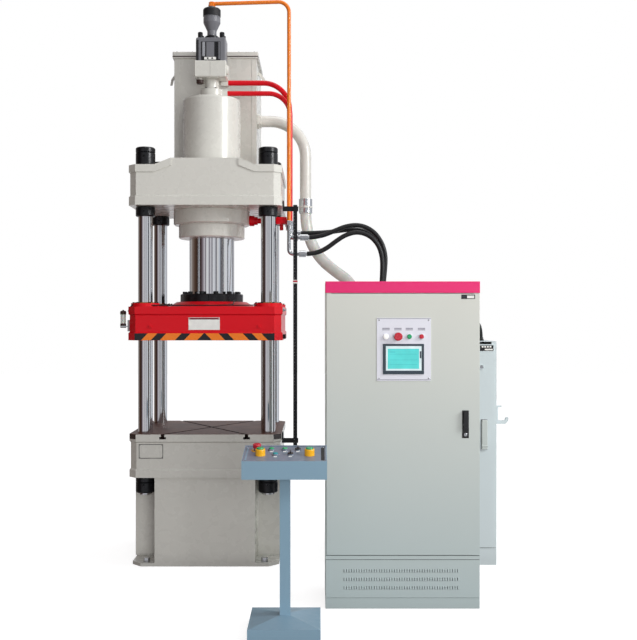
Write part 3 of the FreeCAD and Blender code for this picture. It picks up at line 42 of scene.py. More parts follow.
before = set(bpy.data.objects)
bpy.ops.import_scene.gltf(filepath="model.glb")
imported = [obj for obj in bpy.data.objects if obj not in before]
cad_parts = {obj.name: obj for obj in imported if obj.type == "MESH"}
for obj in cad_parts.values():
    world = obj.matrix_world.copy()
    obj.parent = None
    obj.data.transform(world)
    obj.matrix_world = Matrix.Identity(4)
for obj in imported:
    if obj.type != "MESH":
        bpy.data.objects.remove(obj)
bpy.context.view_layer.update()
MM = 0.001
SLOT_DEPTH = 31 * MM                              # a little deeper than the bed's T slots
FRONT = Matrix.Rotation(math.pi / 2, 4, "X")      # local +Z turns to point at -Y, local +Y to +Z
RIGHT = Matrix.Rotation(math.pi / 2, 4, "Y")      # local +Z turns to point at +X


def srgb(text):
    """A colour in linear light, from its sRGB hex value."""
    values = [int(text[n:n + 2], 16) / 255 for n in (1, 3, 5)]
    return tuple(v / 12.92 if v < 0.04045 else ((v + 0.055) / 1.055) ** 2.4 for v in values) + (1.0,)


def colour_property(name, description, value):
    """A colour that the user can change, given as sRGB hex."""
    return bpy.props.FloatVectorProperty(name=name, description=description, subtype="COLOR", size=4,
                                         min=0, max=1, default=srgb(value))


def length_property(name, description, value):
    """A length that the user can change, given in millimetres."""
    return bpy.props.FloatProperty(name=name, description=description, subtype="DISTANCE",
                                   unit="LENGTH", default=value * MM)


class PressColours(bpy.types.PropertyGroup):
    """Paint and plastic colours"""
    cream: colour_property("Frame enamel", "Press frame, cylinder and tank", "#D3D2CA")
    red: colour_property("Platen enamel", "Moving platen and pressure pipes", "#D3081A")
    orange: colour_property("Pilot pipe enamel", "Pilot pipe and hazard stripes", "#F07D14")
    cabinet: colour_property("Cabinet powder coat", "Main electric cabinet", "#CFD1C9")
    header: colour_property("Header enamel", "Band along the top of the main cabinet", "#E21A6C")
    pale_blue: colour_property("Drive cabinet coat", "Rear electric cabinet", "#C9D4D6")
    desk: colour_property("Desk powder coat", "Operator desk and its stand", "#7F9DAF")
    unit: colour_property("Power unit enamel", "Pump motor and skid", "#41606F")
    screen: colour_property("Screen", "Lit field of the operator screen", "#57D3D0")


class PressSizes(bpy.types.PropertyGroup):
    """Sizes of the added trim"""
    louvre_pitch: length_property("Louvre pitch", "From one louvre to the next", 13.1)
    louvre_height: length_property("Louvre height", "Height of one louvre", 19)
    line_size: length_property("Oil line", "Diameter of the lubrication lines", 7)
    tick_step: length_property("Scale division", "From one mark of the position scale to the next", 20)
    camera_distance: bpy.props.FloatProperty(
        name="Camera distance", description="From the ram's axis to the camera", subtype="DISTANCE",
        unit="LENGTH", default=6.168)
    camera_height: bpy.props.FloatProperty(
        name="Camera height", description="Height of the lens above the floor", subtype="DISTANCE",
        unit="LENGTH", default=1.5)


# --- material helpers -----------------------------------------------------------------------

def add(tree, kind, feeds=None, **settings):
    """Add a node: settings are its own properties or its inputs' values, feeds are links into it."""
    node = tree.nodes.new(kind)
    for key, value in settings.items():
        if hasattr(node, key):
            setattr(node, key, value)
        else:
            node.inputs[key.replace("_", " ")].default_value = value
    for key, source in (feeds or {}).items():
        tree.links.new(source, node.inputs[key])
    return node


def begin(name):
    """A material with its shader, and its Object coordinates in metres."""
    material = bpy.data.materials.new(name)
    material.use_nodes = True
    tree = material.node_tree
    tree.nodes.clear()
    shader = add(tree, "ShaderNodeBsdfPrincipled")
    add(tree, "ShaderNodeOutputMaterial", {"Surface": shader.outputs["BSDF"]})
    place = add(tree, "ShaderNodeTexCoord").outputs["Object"]
    return material, tree, shader, place


def noise(tree, place, size_mm, detail=3.0):
    """Noise whose features are about that many millimetres across."""
    return add(tree, "ShaderNodeTexNoise", {"Vector": place}, Scale=1 / (size_mm * MM),
               Detail=detail).outputs["Fac"]


def ramp(tree, value, low, high, from_low=0.3, from_high=0.7):
    """Spread a value's middle range over new limits."""
    return add(tree, "ShaderNodeMapRange", {"Value": value}, **{
        "From_Min": from_low, "From_Max": from_high, "To_Min": low, "To_Max": high}).outputs["Result"]


def shade(tree, factor, first, second):
    """Mix two colours, each a value or a socket."""
    node = add(tree, "ShaderNodeMix", {"Factor": factor}, data_type="RGBA")
    for slot, colour in (("A", first), ("B", second)):
        socket = [s for s in node.inputs if s.name == slot and s.type == "RGBA"][0]
        if isinstance(colour, bpy.types.NodeSocket):
            tree.links.new(colour, socket)
        else:
            socket.default_value = colour
    return [s for s in node.outputs if s.type == "RGBA"][0]


def toned(colour, factor):
    """A colour made lighter or darker."""
    return tuple(min(1.0, value * factor) for value in colour[:3]) + (1.0,)


def bump(tree, shader, height, depth_mm, strength=1.0):
    """Relief of that depth on the shader's normal."""
    node = add(tree, "ShaderNodeBump", {"Height": height}, Strength=strength, Distance=depth_mm * MM)
    tree.links.new(node.outputs["Normal"], shader.inputs["Normal"])


def dress(tree, shader, links, **values):
    """Link sockets to the shader's inputs, and set its plain values."""
    for key, source in links.items():
        tree.links.new(source, shader.inputs[key])
    for key, value in values.items():
        shader.inputs[key.replace("_", " ")].default_value = value


def floor_dust(tree, place, colour, dust):
    """Darken a colour over the last 90 mm above the floor."""
    height = add(tree, "ShaderNodeSeparateXYZ", {"Vector": place}).outputs["Z"]
    return shade(tree, ramp(tree, height, 0.35, 0.0, 0.0, 90 * MM), colour, dust)


def machine_enamel(name, colour, roughness=0.27, peel=0.04, spread=0.012, coat=0.25):
    """Sprayed two-pack enamel: faint orange peel, slow drifts of shade, dust at the floor."""
    material, tree, shader, place = begin(name)
    drift = ramp(tree, noise(tree, place, 320, 2), 0, 1)
    body = shade(tree, drift, toned(colour, 1 - spread), toned(colour, 1 + spread))
    speck = ramp(tree, noise(tree, place, 9, 2), 0.0, 0.03, 0.6, 0.75)
    body = shade(tree, speck, body, toned(colour, 0.72))
    body = floor_dust(tree, place, body, toned(colour, 0.62))
    rough = ramp(tree, noise(tree, place, 60, 3), roughness - 0.02, roughness + 0.03)
    dress(tree, shader, {"Base Color": body, "Roughness": rough}, Coat_Weight=coat, Coat_Roughness=0.12,
          Specular_IOR_Level=0.25 + coat)
    bump(tree, shader, noise(tree, place, 5, 2), peel)
    return material


def powder_coat(name, colour, roughness=0.45, low=None):
    """Baked powder coat on folded sheet: an even fine texture, a low sheen; given a low colour, painted shade
    darkens it towards the floor.
    """
    material, tree, shader, place = begin(name)
    drift = ramp(tree, noise(tree, place, 500, 1), 0, 1)
    body = shade(tree, drift, toned(colour, 0.985), toned(colour, 1.015))
    if low:
        # painted shade: from 1.6 m down to 0.1 m the colour goes over to the low colour, as if less light fell
        # lower down
        height = add(tree, "ShaderNodeSeparateXYZ", {"Vector": place}).outputs["Z"]
        body = shade(tree, ramp(tree, height, 1, 0, 0.1, 1.6), body, low)
    body = floor_dust(tree, place, body, toned(low or colour, 0.8))
    rough = ramp(tree, noise(tree, place, 30, 2), roughness - 0.05, roughness + 0.06)
    dress(tree, shader, {"Base Color": body, "Roughness": rough})
    bump(tree, shader, noise(tree, place, 2.2, 2), 0.07)
    return material


def hard_chrome(name, tint="#DCDDDF", roughness=0.07):
    """Ground and chromed bar: mirror bright, with faint wiping marks along its length."""
    material, tree, shader, place = begin(name)
    stretched = add(tree, "ShaderNodeMapping", {"Vector": place}, Scale=(1, 1, 0.03)).outputs["Vector"]
    wipe = noise(tree, stretched, 40, 1)
    dress(tree, shader, {
        "Base Color": shade(tree, ramp(tree, wipe, 0, 1), toned(srgb(tint), 0.9), srgb(tint)),
        "Roughness": ramp(tree, wipe, roughness * 0.8, roughness * 1.3)}, Metallic=1.0)
    return material


def machined_steel(name):
    """Turned or ground steel: a fine lay of tool marks and slight stains."""
    material, tree, shader, place = begin(name)
    tint = srgb("#A9AAA8")
    lay = add(tree, "ShaderNodeMapping", {"Vector": place}, Scale=(1, 0.06, 1)).outputs["Vector"]
    marks = noise(tree, lay, 1.6, 2)
    stain = ramp(tree, noise(tree, place, 70, 3), 0, 1)
    dress(tree, shader, {"Base Color": shade(tree, stain, toned(tint, 0.8), tint),
                         "Roughness": ramp(tree, marks, 0.26, 0.44)}, Metallic=1.0)
    bump(tree, shader, marks, 0.03)
    return material


def black_oxide(name):
    """Blackened steel, oiled: near black, with a soft metal glint and rubbed patches."""
    material, tree, shader, place = begin(name)
    tint = srgb("#0E0F12")
    rub = ramp(tree, noise(tree, place, 24, 4), 0, 1, 0.45, 0.8)
    dress(tree, shader, {"Base Color": shade(tree, rub, tint, toned(tint, 2.4)),
                         "Roughness": ramp(tree, rub, 0.32, 0.22, 0, 1)}, Metallic=0.3)
    bump(tree, shader, noise(tree, place, 1.5, 2), 0.03)
    return material


def moulded_plastic(name, colour, roughness=0.3):
    """Injection-moulded plastic: even colour, a slight gloss and a fine spark-eroded grain."""
    material, tree, shader, place = begin(name)
    drift = ramp(tree, noise(tree, place, 40, 2), 0, 1)
    rough = ramp(tree, noise(tree, place, 3, 2), roughness - 0.04, roughness + 0.05)
    dress(tree, shader, {"Base Color": shade(tree, drift, toned(colour, 0.94), toned(colour, 1.05)),
                         "Roughness": rough}, IOR=1.53)
    bump(tree, shader, noise(tree, place, 0.8, 2), 0.015)
    return material


def hose_cover(name):
    """Synthetic rubber hose cover, wrapped while it cured: a faint cloth weave, dull black."""
    material, tree, shader, place = begin(name)
    drift = ramp(tree, noise(tree, place, 35, 3), 0, 1)
    dress(tree, shader, {"Base Color": shade(tree, drift, srgb("#050506"), srgb("#0D0D0F")),
                         "Roughness": ramp(tree, drift, 0.42, 0.58, 0, 1)})
    # ridges about 6 mm apart, coarser than the 1 mm of the real cloth, so that they show
    weave = add(tree, "ShaderNodeTexWave", {"Vector": place}, bands_direction="DIAGONAL", Scale=110,
                Distortion=0.4).outputs["Fac"]
    bump(tree, shader, weave, 0.12, 0.6)
    return material


def clear_hose(name):
    """Soft reinforced vinyl tube, milky with age: light passes but nothing shows sharply."""
    material, tree, shader, place = begin(name)
    cloud = ramp(tree, noise(tree, place, 50, 3), 0, 1)
    dress(tree, shader, {"Base Color": shade(tree, cloud, srgb("#DCDDD6"), srgb("#F1F0EA"))},
          Roughness=0.22, Transmission_Weight=0.35, IOR=1.45, Subsurface_Weight=0.2, Subsurface_Scale=0.01)
    bump(tree, shader, noise(tree, place, 12, 2), 0.4)
    return material


def bronze(name):
    """Turned bearing bronze, warm and slightly dulled by oil."""
    material, tree, shader, place = begin(name)
    stain = ramp(tree, noise(tree, place, 18, 3), 0, 1)
    dress(tree, shader, {"Base Color": shade(tree, stain, srgb("#8E6B33"), srgb("#B48A48")),
                         "Roughness": ramp(tree, stain, 0.28, 0.4, 0, 1)}, Metallic=1.0)
    return material


def anodised(name):
    """Bead-blasted anodised aluminium sheet: a fine even sparkle under a matt skin."""
    material, tree, shader, place = begin(name)
    tint = srgb("#E8E9F1")
    grain = noise(tree, place, 1.2, 2)
    dress(tree, shader, {"Base Color": shade(tree, ramp(tree, grain, 0, 1), toned(tint, 0.93), tint),
                         "Roughness": ramp(tree, grain, 0.38, 0.5)}, Metallic=0.25)
    bump(tree, shader, grain, 0.02)
    return material


def glowing(name, colour, power):
    """A lit plastic field behind glass."""
    material, tree, shader, place = begin(name)
    drift = ramp(tree, noise(tree, place, 60, 1), 0, 1)
    body = shade(tree, drift, toned(colour, 0.93), toned(colour, 1.04))
    dress(tree, shader, {"Base Color": body, "Emission Color": body}, Emission_Strength=power, Roughness=0.12)
    return material


def bed_finish(name, colour, corner):
    """The bed: enamel on its sides, ground bare steel on its top, and in its slots a near-black brown that is
    partly oil and partly painted shade.
    """
    material = machine_enamel(name, colour)
    tree = material.node_tree
    shader = [n for n in tree.nodes if n.type == "BSDF_PRINCIPLED"][0]
    place = [n for n in tree.nodes if n.type == "TEX_COORD"][0].outputs["Object"]

    def past(value, kind, limit):
        node = add(tree, "ShaderNodeMath", {0: value}, operation=kind)
        node.inputs[1].default_value = limit
        return node.outputs[0]

    level = add(tree, "ShaderNodeSeparateXYZ", {"Vector": place}).outputs["Z"]
    on_top = past(level, "GREATER_THAN", corner.z - 0.5 * MM)
    lay = add(tree, "ShaderNodeMapping", {"Vector": place}, Scale=(0.05, 1, 1)).outputs["Vector"]
    marks = noise(tree, lay, 2.5, 2)
    stain = ramp(tree, noise(tree, place, 110, 4), 0, 1)
    steel = shade(tree, stain, srgb("#522E22"), srgb("#6E4A3A"))
    sides = add(tree, "ShaderNodeVectorMath", {"Vector": place}, operation="ABSOLUTE").outputs["Vector"]
    out = add(tree, "ShaderNodeSeparateXYZ", {"Vector": sides}).outputs
    # the slots' walls and floors are marked here: partly oil, partly painted shade of the recess
    slot_oil_and_shade = past(level, "GREATER_THAN", corner.z - SLOT_DEPTH)
    for value, limit in ((out["X"], corner.x), (out["Y"], corner.y)):
        inside = past(value, "LESS_THAN", limit - 0.5 * MM)
        slot_oil_and_shade = add(tree, "ShaderNodeMath", {0: slot_oil_and_shade, 1: inside}, operation="MULTIPLY").outputs[0]
    paint = shader.inputs["Base Color"].links[0].from_socket
    # 241A17 is oil and painted shade inside the slots
    paint = shade(tree, slot_oil_and_shade, paint, srgb("#241A17"))
    smooth = shader.inputs["Roughness"].links[0].from_socket
    rough = add(tree, "ShaderNodeMix", {0: on_top, 2: smooth, 3: ramp(tree, marks, 0.45, 0.6)}).outputs[0]
    dress(tree, shader, {"Base Color": shade(tree, on_top, paint, steel), "Roughness": rough,
                         "Coat Weight": ramp(tree, on_top, 0.25, 0.0, 0, 1)})
    return material


# enamels: the user's colour, then roughness, orange peel, spread of shade and clear coat
ENAMELS = {
    "cream_enamel": ("cream",),
    "red_enamel": ("red", 0.3, 0.04, 0.02, 0.05),
    "orange_enamel": ("orange", 0.28, 0.05, 0.03),
    "header_enamel": ("header", 0.3, 0.04, 0.03),
    "unit_enamel": ("unit", 0.4),
}
# moulded plastics: colour and roughness
PLASTICS = {
    "gasket_black": ("#101114", 0.6), "black_nylon": ("#151617", 0.35), "grey_nylon": ("#3B444D", 0.4),
    "white_nylon": ("#E9E9E4", 0.3), "red_nylon": ("#BE1A30", 0.25), "green_nylon": ("#1E9C62", 0.25),
    "teal_nylon": ("#1F8F97", 0.25), "yellow_nylon": ("#F0B123", 0.28), "label_grey": ("#8C8C98", 0.4),
    "bezel_nylon": ("#2F3D47", 0.35), "amber_acrylic": ("#8A4A1E", 0.12), "brown_nylon": ("#2E1812", 0.5),
    "maroon_nylon": ("#6B1F2A", 0.3), "blue_nylon": ("#2E6FB0", 0.3),
}
# lit fields: colour and power
LIT = {"screen_white": ("#D5E8EA", 0.12), "screen_deep": ("#45BFC0", 0.1), "lamp_white": ("#F3F2EE", 0.25)}
FINISHES = {}


def make_finish(name):
    """A new finish by name."""
    colours = bpy.context.scene.press_colours
    if name in ENAMELS:
        paint, *settings = ENAMELS[name]
        return machine_enamel(name, tuple(getattr(colours, paint)), *settings)
    if name in PLASTICS:
        return moulded_plastic(name, srgb(PLASTICS[name][0]), PLASTICS[name][1])
    if name in LIT:
        return glowing(name, srgb(LIT[name][0]), LIT[name][1])
    others = {
        "valve_casting": lambda: machine_enamel(name, srgb("#707176"), 0.4, 0.3, 0.05),
        # AEBCBC is painted shade: the darker bluish colour that the cabinet's lower part takes on
        "cabinet_coat": lambda: powder_coat(name, tuple(colours.cabinet), 0.45, srgb("#AEBCBC")),
        "drive_cabinet_coat": lambda: powder_coat(name, tuple(colours.pale_blue)),
        "desk_coat": lambda: powder_coat(name, tuple(colours.desk), 0.38),
        "desk_plate_coat": lambda: powder_coat(name, srgb("#737E8E"), 0.35),
        "hard_chrome": lambda: hard_chrome(name),
        "zinc_plate": lambda: hard_chrome(name, "#C4C6C8", 0.2),
        "machined_steel": lambda: machined_steel(name),
        "black_oxide": lambda: black_oxide(name),
        "bearing_bronze": lambda: bronze(name),
        "hose_rubber": lambda: hose_cover(name),
        "vinyl_tube": lambda: clear_hose(name),
        "anodised_sheet": lambda: anodised(name),
        "screen_field": lambda: glowing(name, tuple(colours.screen), 0.12),
        "bed_finish": lambda: bed_finish(name, tuple(colours.cream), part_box("bed_table")[1]),
    }
    return others[name]()


def finish(name):
    """A finish by name, made once."""
    if name not in FINISHES:
        FINISHES[name] = make_finish(name)
    return FINISHES[name]


def coat(node, name):
    """Give a CAD node a finish."""
    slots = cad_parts[node].data.materials
    slots.clear()
    slots.append(finish(name))


# --- mesh helpers ---------------------------------------------------------------------------

def piece(name, mesh, finishes, body):
    """A finished mesh becomes a piece that rides on a body."""
    item = bpy.data.objects.new(name, mesh)
    bpy.context.scene.collection.objects.link(item)
    for one in finishes if isinstance(finishes, (list, tuple)) else [finishes]:
        mesh.materials.append(finish(one))
    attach(item, body)
    return item


def to_mesh(shape, name):
    """Turn a bmesh into a mesh, with its faces outwards."""
    bmesh.ops.recalc_face_normals(shape, faces=shape.faces)
    mesh = bpy.data.meshes.new(name)
    shape.to_mesh(mesh)
    shape.free()
    return mesh


def done(shape, name, matrix=Matrix()):
    """Merge a bmesh's doubles, turn it into a mesh and place it."""
    bmesh.ops.remove_doubles(shape, verts=shape.verts, dist=1e-6)
    mesh = to_mesh(shape, name)
    mesh.transform(matrix)
    return mesh


def add_box(shape, low, high, radius=0.0, index=0, steps=2):
    """A box between two corners, in metres, with its edges rounded."""
    made = bmesh.ops.create_cube(shape, size=1.0)["verts"]
    middle = (Vector(low) + Vector(high)) / 2
    size = Vector(high) - Vector(low)
    for vert in made:
        vert.co = Vector(a * b for a, b in zip(vert.co, size)) + middle
    for face in {f for v in made for f in v.link_faces}:
        face.material_index = index
    if radius:
        edges = {e for v in made for e in v.link_edges}
        bmesh.ops.bevel(shape, geom=list(edges), offset=radius, segments=steps, profile=0.5,
                        affect="EDGES", clamp_overlap=True, material=-1)


def add_lathe(shape, profile, matrix, segments=32, index=0, smooth=True):
    """A closed turned shape from radius and height pairs, about local Z."""
    rings = []
    for radius, height in profile:
        if radius < 1e-7:
            rings.append([shape.verts.new(matrix @ Vector((0, 0, height)))])
            continue
        ring = []
        for n in range(segments):
            turn = 2 * math.pi * n / segments
            point = Vector((radius * math.cos(turn), radius * math.sin(turn), height))
            ring.append(shape.verts.new(matrix @ point))
        rings.append(ring)
    closed = len(rings[0]) > 1 and len(rings[-1]) > 1
    pairs = list(zip(rings, rings[1:])) + ([(rings[-1], rings[0])] if closed else [])
    for lower, upper in pairs:
        for n in range(segments):
            quad = [lower[n % len(lower)], lower[(n + 1) % len(lower)],
                    upper[(n + 1) % len(upper)], upper[n % len(upper)]]
            corners = list(dict.fromkeys(quad))
            if len(corners) > 2:
                face = shape.faces.new(corners)
                face.material_index = index
                face.smooth = smooth


def add_hexagon(shape, across, low, high, matrix):
    """A hexagon head with chamfered top corners, about local Z."""
    outer = across / math.sqrt(3)
    profile = [(0, low), (outer, low), (outer, high - across * 0.06), (outer * 0.9, high), (0, high)]
    add_lathe(shape, profile, matrix, 6, smooth=False)


def sharpen(mesh, degrees=35):
    """Keep the edges sharper than an angle crisp on a smooth mesh."""
    for polygon in mesh.polygons:
        polygon.use_smooth = True
    mesh.set_sharp_from_angle(angle=math.radians(degrees))


def turned_piece(name, profile_mm, matrix, finishes, body, segments=48):
    """One turned piece from millimetre pairs."""
    shape = bmesh.new()
    add_lathe(shape, [(r * MM, z * MM) for r, z in profile_mm], matrix, segments)
    mesh = done(shape, name)
    sharpen(mesh)
    return piece(name, mesh, finishes, body)


def boxes_piece(name, boxes, finishes, body, radius):
    """Rounded boxes in one piece: each is a low corner, a high corner and a finish number, in metres."""
    shape = bmesh.new()
    for low, high, index in boxes:
        add_box(shape, low, high, radius * MM, index)
    return piece(name, done(shape, name), finishes, body)


def curve_piece(name, points, radius, finish_name, body, sides=6):
    """A round line through NURBS control points."""
    curve = bpy.data.curves.new(name, "CURVE")
    curve.dimensions = "3D"
    curve.bevel_depth = radius
    curve.bevel_resolution = sides
    curve.resolution_u = 10
    curve.use_fill_caps = True
    spline = curve.splines.new("NURBS")
    spline.points.add(len(points) - 1)
    for point, target in zip(spline.points, points):
        point.co = (*target, 1)
    spline.order_u = 3
    spline.use_endpoint_u = True
    item = bpy.data.objects.new(name, curve)
    bpy.context.scene.collection.objects.link(item)
    curve.materials.append(finish(finish_name))
    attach(item, body)
    return item


# --- repeats by geometry nodes --------------------------------------------------------------

def repeat_tree(ring):
    """A node tree that copies one object over a grid, or round a ring when asked."""
    title = "Copies round a ring" if ring else "Copies over a grid"
    tree = bpy.data.node_groups.new(title, "GeometryNodeTree")
    face = tree.interface
    face.new_socket("Geometry", in_out="OUTPUT", socket_type="NodeSocketGeometry")
    sockets = [("Sample", "NodeSocketObject"), ("Finish", "NodeSocketMaterial"), ("Count", "NodeSocketInt")]
    sockets += [("Radius", "NodeSocketFloat")] if ring else [
        ("Rows", "NodeSocketInt"), ("Step across", "NodeSocketFloat"), ("Step up", "NodeSocketFloat")]
    for name, kind in sockets:
        face.new_socket(name, in_out="INPUT", socket_type=kind)
    source = tree.nodes.new("NodeGroupInput").outputs
    sample = add(tree, "GeometryNodeObjectInfo", {"Object": source["Sample"]})
    if ring:
        points = add(tree, "GeometryNodeMeshCircle", {"Vertices": source["Count"], "Radius": source["Radius"]})
        index = add(tree, "GeometryNodeInputIndex")
        share = add(tree, "ShaderNodeMath", {0: index.outputs[0], 1: source["Count"]}, operation="DIVIDE")
        turn = add(tree, "ShaderNodeMath", {0: share.outputs[0]}, operation="MULTIPLY")
        turn.inputs[1].default_value = 2 * math.pi
        angles = add(tree, "ShaderNodeCombineXYZ", {"Z": turn.outputs[0]}).outputs[0]
    else:
        sizes = []
        for count, step in (("Count", "Step across"), ("Rows", "Step up")):
            fewer = add(tree, "ShaderNodeMath", {0: source[count]}, operation="SUBTRACT")
            fewer.inputs[1].default_value = 1
            sizes.append(add(tree, "ShaderNodeMath", {0: fewer.outputs[0], 1: source[step]},
                             operation="MULTIPLY").outputs[0])
        points = add(tree, "GeometryNodeMeshGrid", {
            "Size X": sizes[0], "Size Y": sizes[1], "Vertices X": source["Count"], "Vertices Y": source["Rows"]})
        angles = None
    spread = add(tree, "GeometryNodeInstanceOnPoints", {
        "Points": points.outputs["Mesh"], "Instance": sample.outputs["Geometry"]})
    if angles is not None:
        tree.links.new(angles, spread.inputs["Rotation"])
    real = add(tree, "GeometryNodeRealizeInstances", {"Geometry": spread.outputs["Instances"]})
    painted = add(tree, "GeometryNodeSetMaterial", {
        "Geometry": real.outputs["Geometry"], "Material": source["Finish"]})
    add(tree, "NodeGroupOutput", {"Geometry": painted.outputs["Geometry"]})
    return tree


TREES = {}


def repeat(name, sample, finish_name, body, matrix, ring=None, grid=None):
    """Copy a sample mesh round a ring (count, radius) or over a grid (count, rows, step across,
    step up), place it, and keep the result as a plain piece."""
    on_ring = ring is not None
    if on_ring not in TREES:
        TREES[on_ring] = repeat_tree(on_ring)
    tree = TREES[on_ring]
    inputs = ("Count", "Radius") if on_ring else ("Count", "Rows", "Step across", "Step up")
    model = bpy.data.objects.new(name + "_sample", sample)
    host = bpy.data.objects.new(name + "_host", bpy.data.meshes.new(name + "_host"))
    for item in (model, host):
        bpy.context.scene.collection.objects.link(item)
    modifier = host.modifiers.new("Copies", "NODES")
    modifier.node_group = tree
    values = {"Sample": model, "Finish": finish(finish_name), **dict(zip(inputs, ring or grid))}
    for socket in tree.interface.items_tree:
        if socket.in_out == "INPUT":
            modifier[socket.identifier] = values[socket.name]
    seen = host.evaluated_get(bpy.context.evaluated_depsgraph_get())
    mesh = bpy.data.meshes.new_from_object(seen)
    host.modifiers.remove(modifier)
    for item in (model, host):
        bpy.data.objects.remove(item)
    mesh.transform(matrix)
    item = bpy.data.objects.new(name, mesh)
    bpy.context.scene.collection.objects.link(item)
    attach(item, body)
    return item


def socket_bolt(name, radius_mm, head_mm):
    """A cylinder-head bolt with a hexagon socket, its seat at Z = 0."""
    shape = bmesh.new()
    r, h = radius_mm * MM, head_mm * MM
    add_lathe(shape, [(0, 0), (r, 0), (r, h * 0.88), (r * 0.88, h), (r * 0.55, h), (r * 0.5, h * 0.45),
                      (0, h * 0.45)], Matrix(), 24)
    mesh = done(shape, name)
    sharpen(mesh)
    return mesh


def hex_bolt(name, across_mm, head_mm):
    """A hexagon-head bolt on a washer, its seat at Z = 0."""
    shape = bmesh.new()
    washer = across_mm * 0.62 * MM
    add_lathe(shape, [(0, 0), (washer, 0), (washer, 1.5 * MM), (0, 1.5 * MM)], Matrix(), 24)
    add_hexagon(shape, across_mm * MM, 1.5 * MM, head_mm * MM, Matrix())
    return done(shape, name)


def screw_head(name, radius_mm):
    """A domed screw head with a cross recess, its seat at Z = 0."""
    shape = bmesh.new()
    r = radius_mm * MM
    add_lathe(shape, [(0, -r * 0.2), (r, -r * 0.2), (r, r * 0.15), (r * 0.8, r * 0.42), (r * 0.42, r * 0.55),
                      (r * 0.3, r * 0.2), (0, r * 0.2)], Matrix(), 12)
    mesh = done(shape, name)
    sharpen(mesh, 50)
    return mesh


def facing(x, y, z, turn=None):
    """A placing matrix, in metres, with an optional turn."""
    return Matrix.Translation((x, y, z)) @ (turn if turn is not None else Matrix())


# --- steps ----------------------------------------------------------------------------------

class PRESS_OT_paintwork(bpy.types.Operator):
    """Give every packed sub-part its real finish"""
    bl_idname = "press.paintwork"
    bl_label = "Paint and plate the sub-parts"

    def execute(self, context):
        finishes = {
            "cream_enamel": ("base_frame", "crosshead", "cylinder_barrel", "cylinder_lock_nut",
                             "gland_housing", "cylinder_cap", "prefill_valve_block", "oil_tank",
                             "tank_lid", "tank_brackets", "suction_pipe"),
            "bed_finish": ("bed_table",),
            "red_enamel": ("platen", "pressure_pipes", "cross_pipe"),
            "orange_enamel": ("pilot_pipe",),
            "hard_chrome": ("column_front_left", "column_front_right", "column_rear_left",
                            "column_rear_right", "piston_rod"),
            "black_oxide": ("column_nuts", "rod_flange", "position_scale"),
            "bearing_bronze": ("platen_bushes",),
            "zinc_plate": ("hose_elbows", "hose_fittings"),
            "machined_steel": ("piston", "pump_block"),
            "valve_casting": ("pilot_valve", "pilot_solenoid", "oil_pump"),
            "unit_enamel": ("power_unit_skid", "pump_motor"),
            "cabinet_coat": ("cabinet_shell", "cabinet_door", "rear_door_lever"),
            "drive_cabinet_coat": ("rear_cabinet_shell", "rear_cabinet_door"),
            "anodised_sheet": ("operator_panel",),
            "desk_coat": ("desk_stand", "desk_box"),
            "desk_plate_coat": ("desk_panel",),
            "black_nylon": ("door_lever", "mode_selector", "speed_selector"),
            "red_nylon": ("panel_halt_push", "panel_stop_mushroom", "desk_stop_mushroom"),
            "green_nylon": ("panel_start_push", "two_hand_push_left", "two_hand_push_right",
                            "desk_pump_push", "desk_return_push"),
            "teal_nylon": ("desk_jog_push",),
            "yellow_nylon": ("button_shrouds",),
        }
        for name, nodes in finishes.items():
            for node in nodes:
                coat(node, name)
        return {"FINISHED"}


# bottom edges between the stripes, outwards from the platen's middle; the middle one is black
HAZARD_EDGES = (0, 45, 125, 180, 272, 327, 385, 450)
HAZARD_LEAN = 0.95                                # how far a stripe leans in over its height


def chevrons(name, left, right, low, high, y, out, body):
    """Slanted stripes over a band, mirrored about its middle, in two finishes."""
    shape = bmesh.new()
    lean = (high - low) * HAZARD_LEAN
    middle = (left + right) / 2
    half = (right - left) / 2
    for side in (-1, 1):
        for n, (start, end) in enumerate(zip(HAZARD_EDGES, HAZARD_EDGES[1:])):
            start, end = start * MM, (half + 2 * lean if n == len(HAZARD_EDGES) - 2 else end * MM)
            corners = [(start, low), (end, low), (end - lean, high), (start - lean, high)]
            strip = clip_band(corners, 0, half)
            points = [shape.verts.new((middle + side * x, y, z)) for x, z in strip]
            back = [shape.verts.new((middle + side * x, y + out, z)) for x, z in strip]
            index = (n + 1) % 2
            shape.faces.new(points).material_index = index
            shape.faces.new(back).material_index = index
            for k in range(len(points)):
                m = (k + 1) % len(points)
                shape.faces.new([points[k], points[m], back[m], back[k]]).material_index = index
    return piece(name, to_mesh(shape, name), ["orange_enamel", "gasket_black"], body)


def clip_band(corners, low, high):
    """The part of a polygon between two upright lines."""
    for limit, keep_above in ((low, True), (high, False)):
        kept = []
        for n, here in enumerate(corners):
            there = corners[(n + 1) % len(corners)]
            inside = here[0] >= limit if keep_above else here[0] <= limit
            beyond = there[0] >= limit if keep_above else there[0] <= limit
            if inside:
                kept.append(here)
            if inside != beyond:
                share = (limit - here[0]) / (there[0] - here[0])
                kept.append((limit, here[1] + share * (there[1] - here[1])))
        corners = kept
        if len(corners) < 3:
            return []
    return corners


